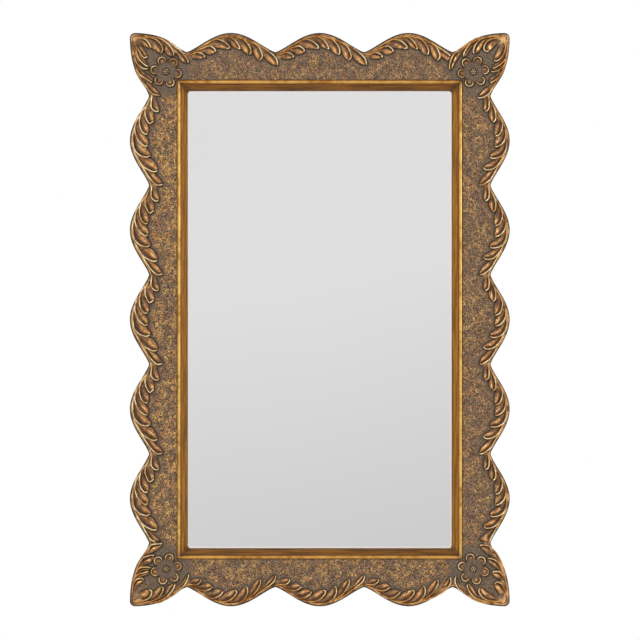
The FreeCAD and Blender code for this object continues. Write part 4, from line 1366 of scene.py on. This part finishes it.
def floor():
    """A plain pale floor below the mirror, out of the main view."""
    mesh = bpy.data.meshes.new("floor")
    signs = ((-1, -1), (1, -1), (1, 1), (-1, 1))
    mesh.from_pydata([(x * floor_reach, y * floor_reach, floor_level) for x, y in signs], [], [(0, 1, 2, 3)])
    ground = bpy.data.objects.new("floor", mesh)
    bpy.context.scene.collection.objects.link(ground)
    s = Shader("pale_floor")
    tint = s.tone(s.noise(4, 3), 0.3, 0.7, (0.86, 0.86, 0.86, 1), (0.90, 0.90, 0.90, 1))
    mesh.materials.append(s.done(Base_Color=tint, Roughness=0.8))


def camera():
    """Square on, from far enough away to look flat."""
    data = bpy.data.cameras.new("camera")
    frame_width = photo_pixels * pixel_size * MM
    data.lens = data.sensor_width * (camera_distance + ground_plane * MM) / frame_width
    made = bpy.data.objects.new("camera", data)
    bpy.context.scene.collection.objects.link(made)
    shift_x = (photo_pixels / 2 - centre_pixel_x) * pixel_size * MM
    shift_z = (centre_pixel_y - photo_pixels / 2) * pixel_size * MM
    made.location = (shift_x, -camera_distance, shift_z)
    made.rotation_euler = (math.pi / 2, 0, 0)
    bpy.context.scene.camera = made


def dress_cad_nodes():
    """Procedural finishes for the pieces whose shape stays as it is."""
    finishes = {
        "hardboard": board_material(),
        "zinc_steel": steel_material("zinc_steel", (176, 178, 178), (206, 206, 200), 0.34),
        "nickel_steel": steel_material("nickel_steel", (190, 184, 172), (214, 208, 196), 0.22),
        "rubber": rubber_material(),
        "beech": beech_material(),
    }
    for entry in frame["record"]["subparts"]:
        finish = finishes.get(entry["material_slot"])
        if finish is not None:
            thing = frame["nodes"][entry["node"]]
            thing.data.materials.clear()
            thing.data.materials.append(finish)


bpy.context.scene.view_settings.view_transform = "Standard"
camera()
studio()
floor()

antique_ground = ground_material()
antique_leaf = leaf_material()
# Lit and shaded copies of one gilt: the side members painted lighter, the top darker and the bottom darkest,
# as painted light and shade; the streaks run along each member
liner_sides = liner_material(
    "gilt_liner_sides_lit", (5, 1, 0.25),
    (162, 106, 38), (218, 166, 82), (244, 200, 114), (122, 78, 18), (168, 114, 36),
)
liner_top = liner_material(
    "gilt_liner_top", (0.25, 1, 5),
    (166, 106, 36), (216, 158, 76), (232, 186, 108), (100, 62, 18), (144, 94, 32),
)
liner_bottom = liner_material(
    "gilt_liner_bottom", (0.25, 1, 5),
    (150, 96, 28), (200, 142, 62), (238, 186, 102), (90, 56, 14), (132, 86, 26),
)
# Each side's lit or shaded copy of the gilt
liner_lit_and_shaded = {"top": liner_top, "bottom": liner_bottom, "left": liner_sides, "right": liner_sides}

edges = {side_name: outline(side) for side_name, side in SIDES.items()}
sprays = {}
for side_name, side in SIDES.items():
    for crest in range(side.crests):
        sprays[f"{side_name}_{crest + 1}"] = spray_leaf_curves(side_name, side, crest, edges[side_name])
corner_leaves = {corner: corner_leaf_curves(corner, edges) for corner in CORNERS}
ornaments = ornament_outlines([*sprays.values(), *corner_leaves.values()])

for side_name, side in SIDES.items():
    build_rail(side_name, side, ornaments)
    build_liner(side_name, side, liner_lit_and_shaded[side_name])
for key, curves in sprays.items():
    look = leaf_looks[key.split("_")[0]]
    leaves = [leaf_surface(*lines, gold, look) for lines, gold in curves]
    build_ornament("spray_" + key, leaves, False, "leaf_spray_" + key)
for corner, curves in corner_leaves.items():
    leaves = [leaf_surface(*lines, gold, leaf_looks[corner]) for lines, gold in curves]
    build_ornament("leaflets_" + corner, leaves, False, "corner_leaf_" + corner)
    build_ornament("flower_" + corner, rosette_parts(corner), True, "rosette_" + corner)
build_pane(mirror_material(), margin_material())
dress_cad_nodes()
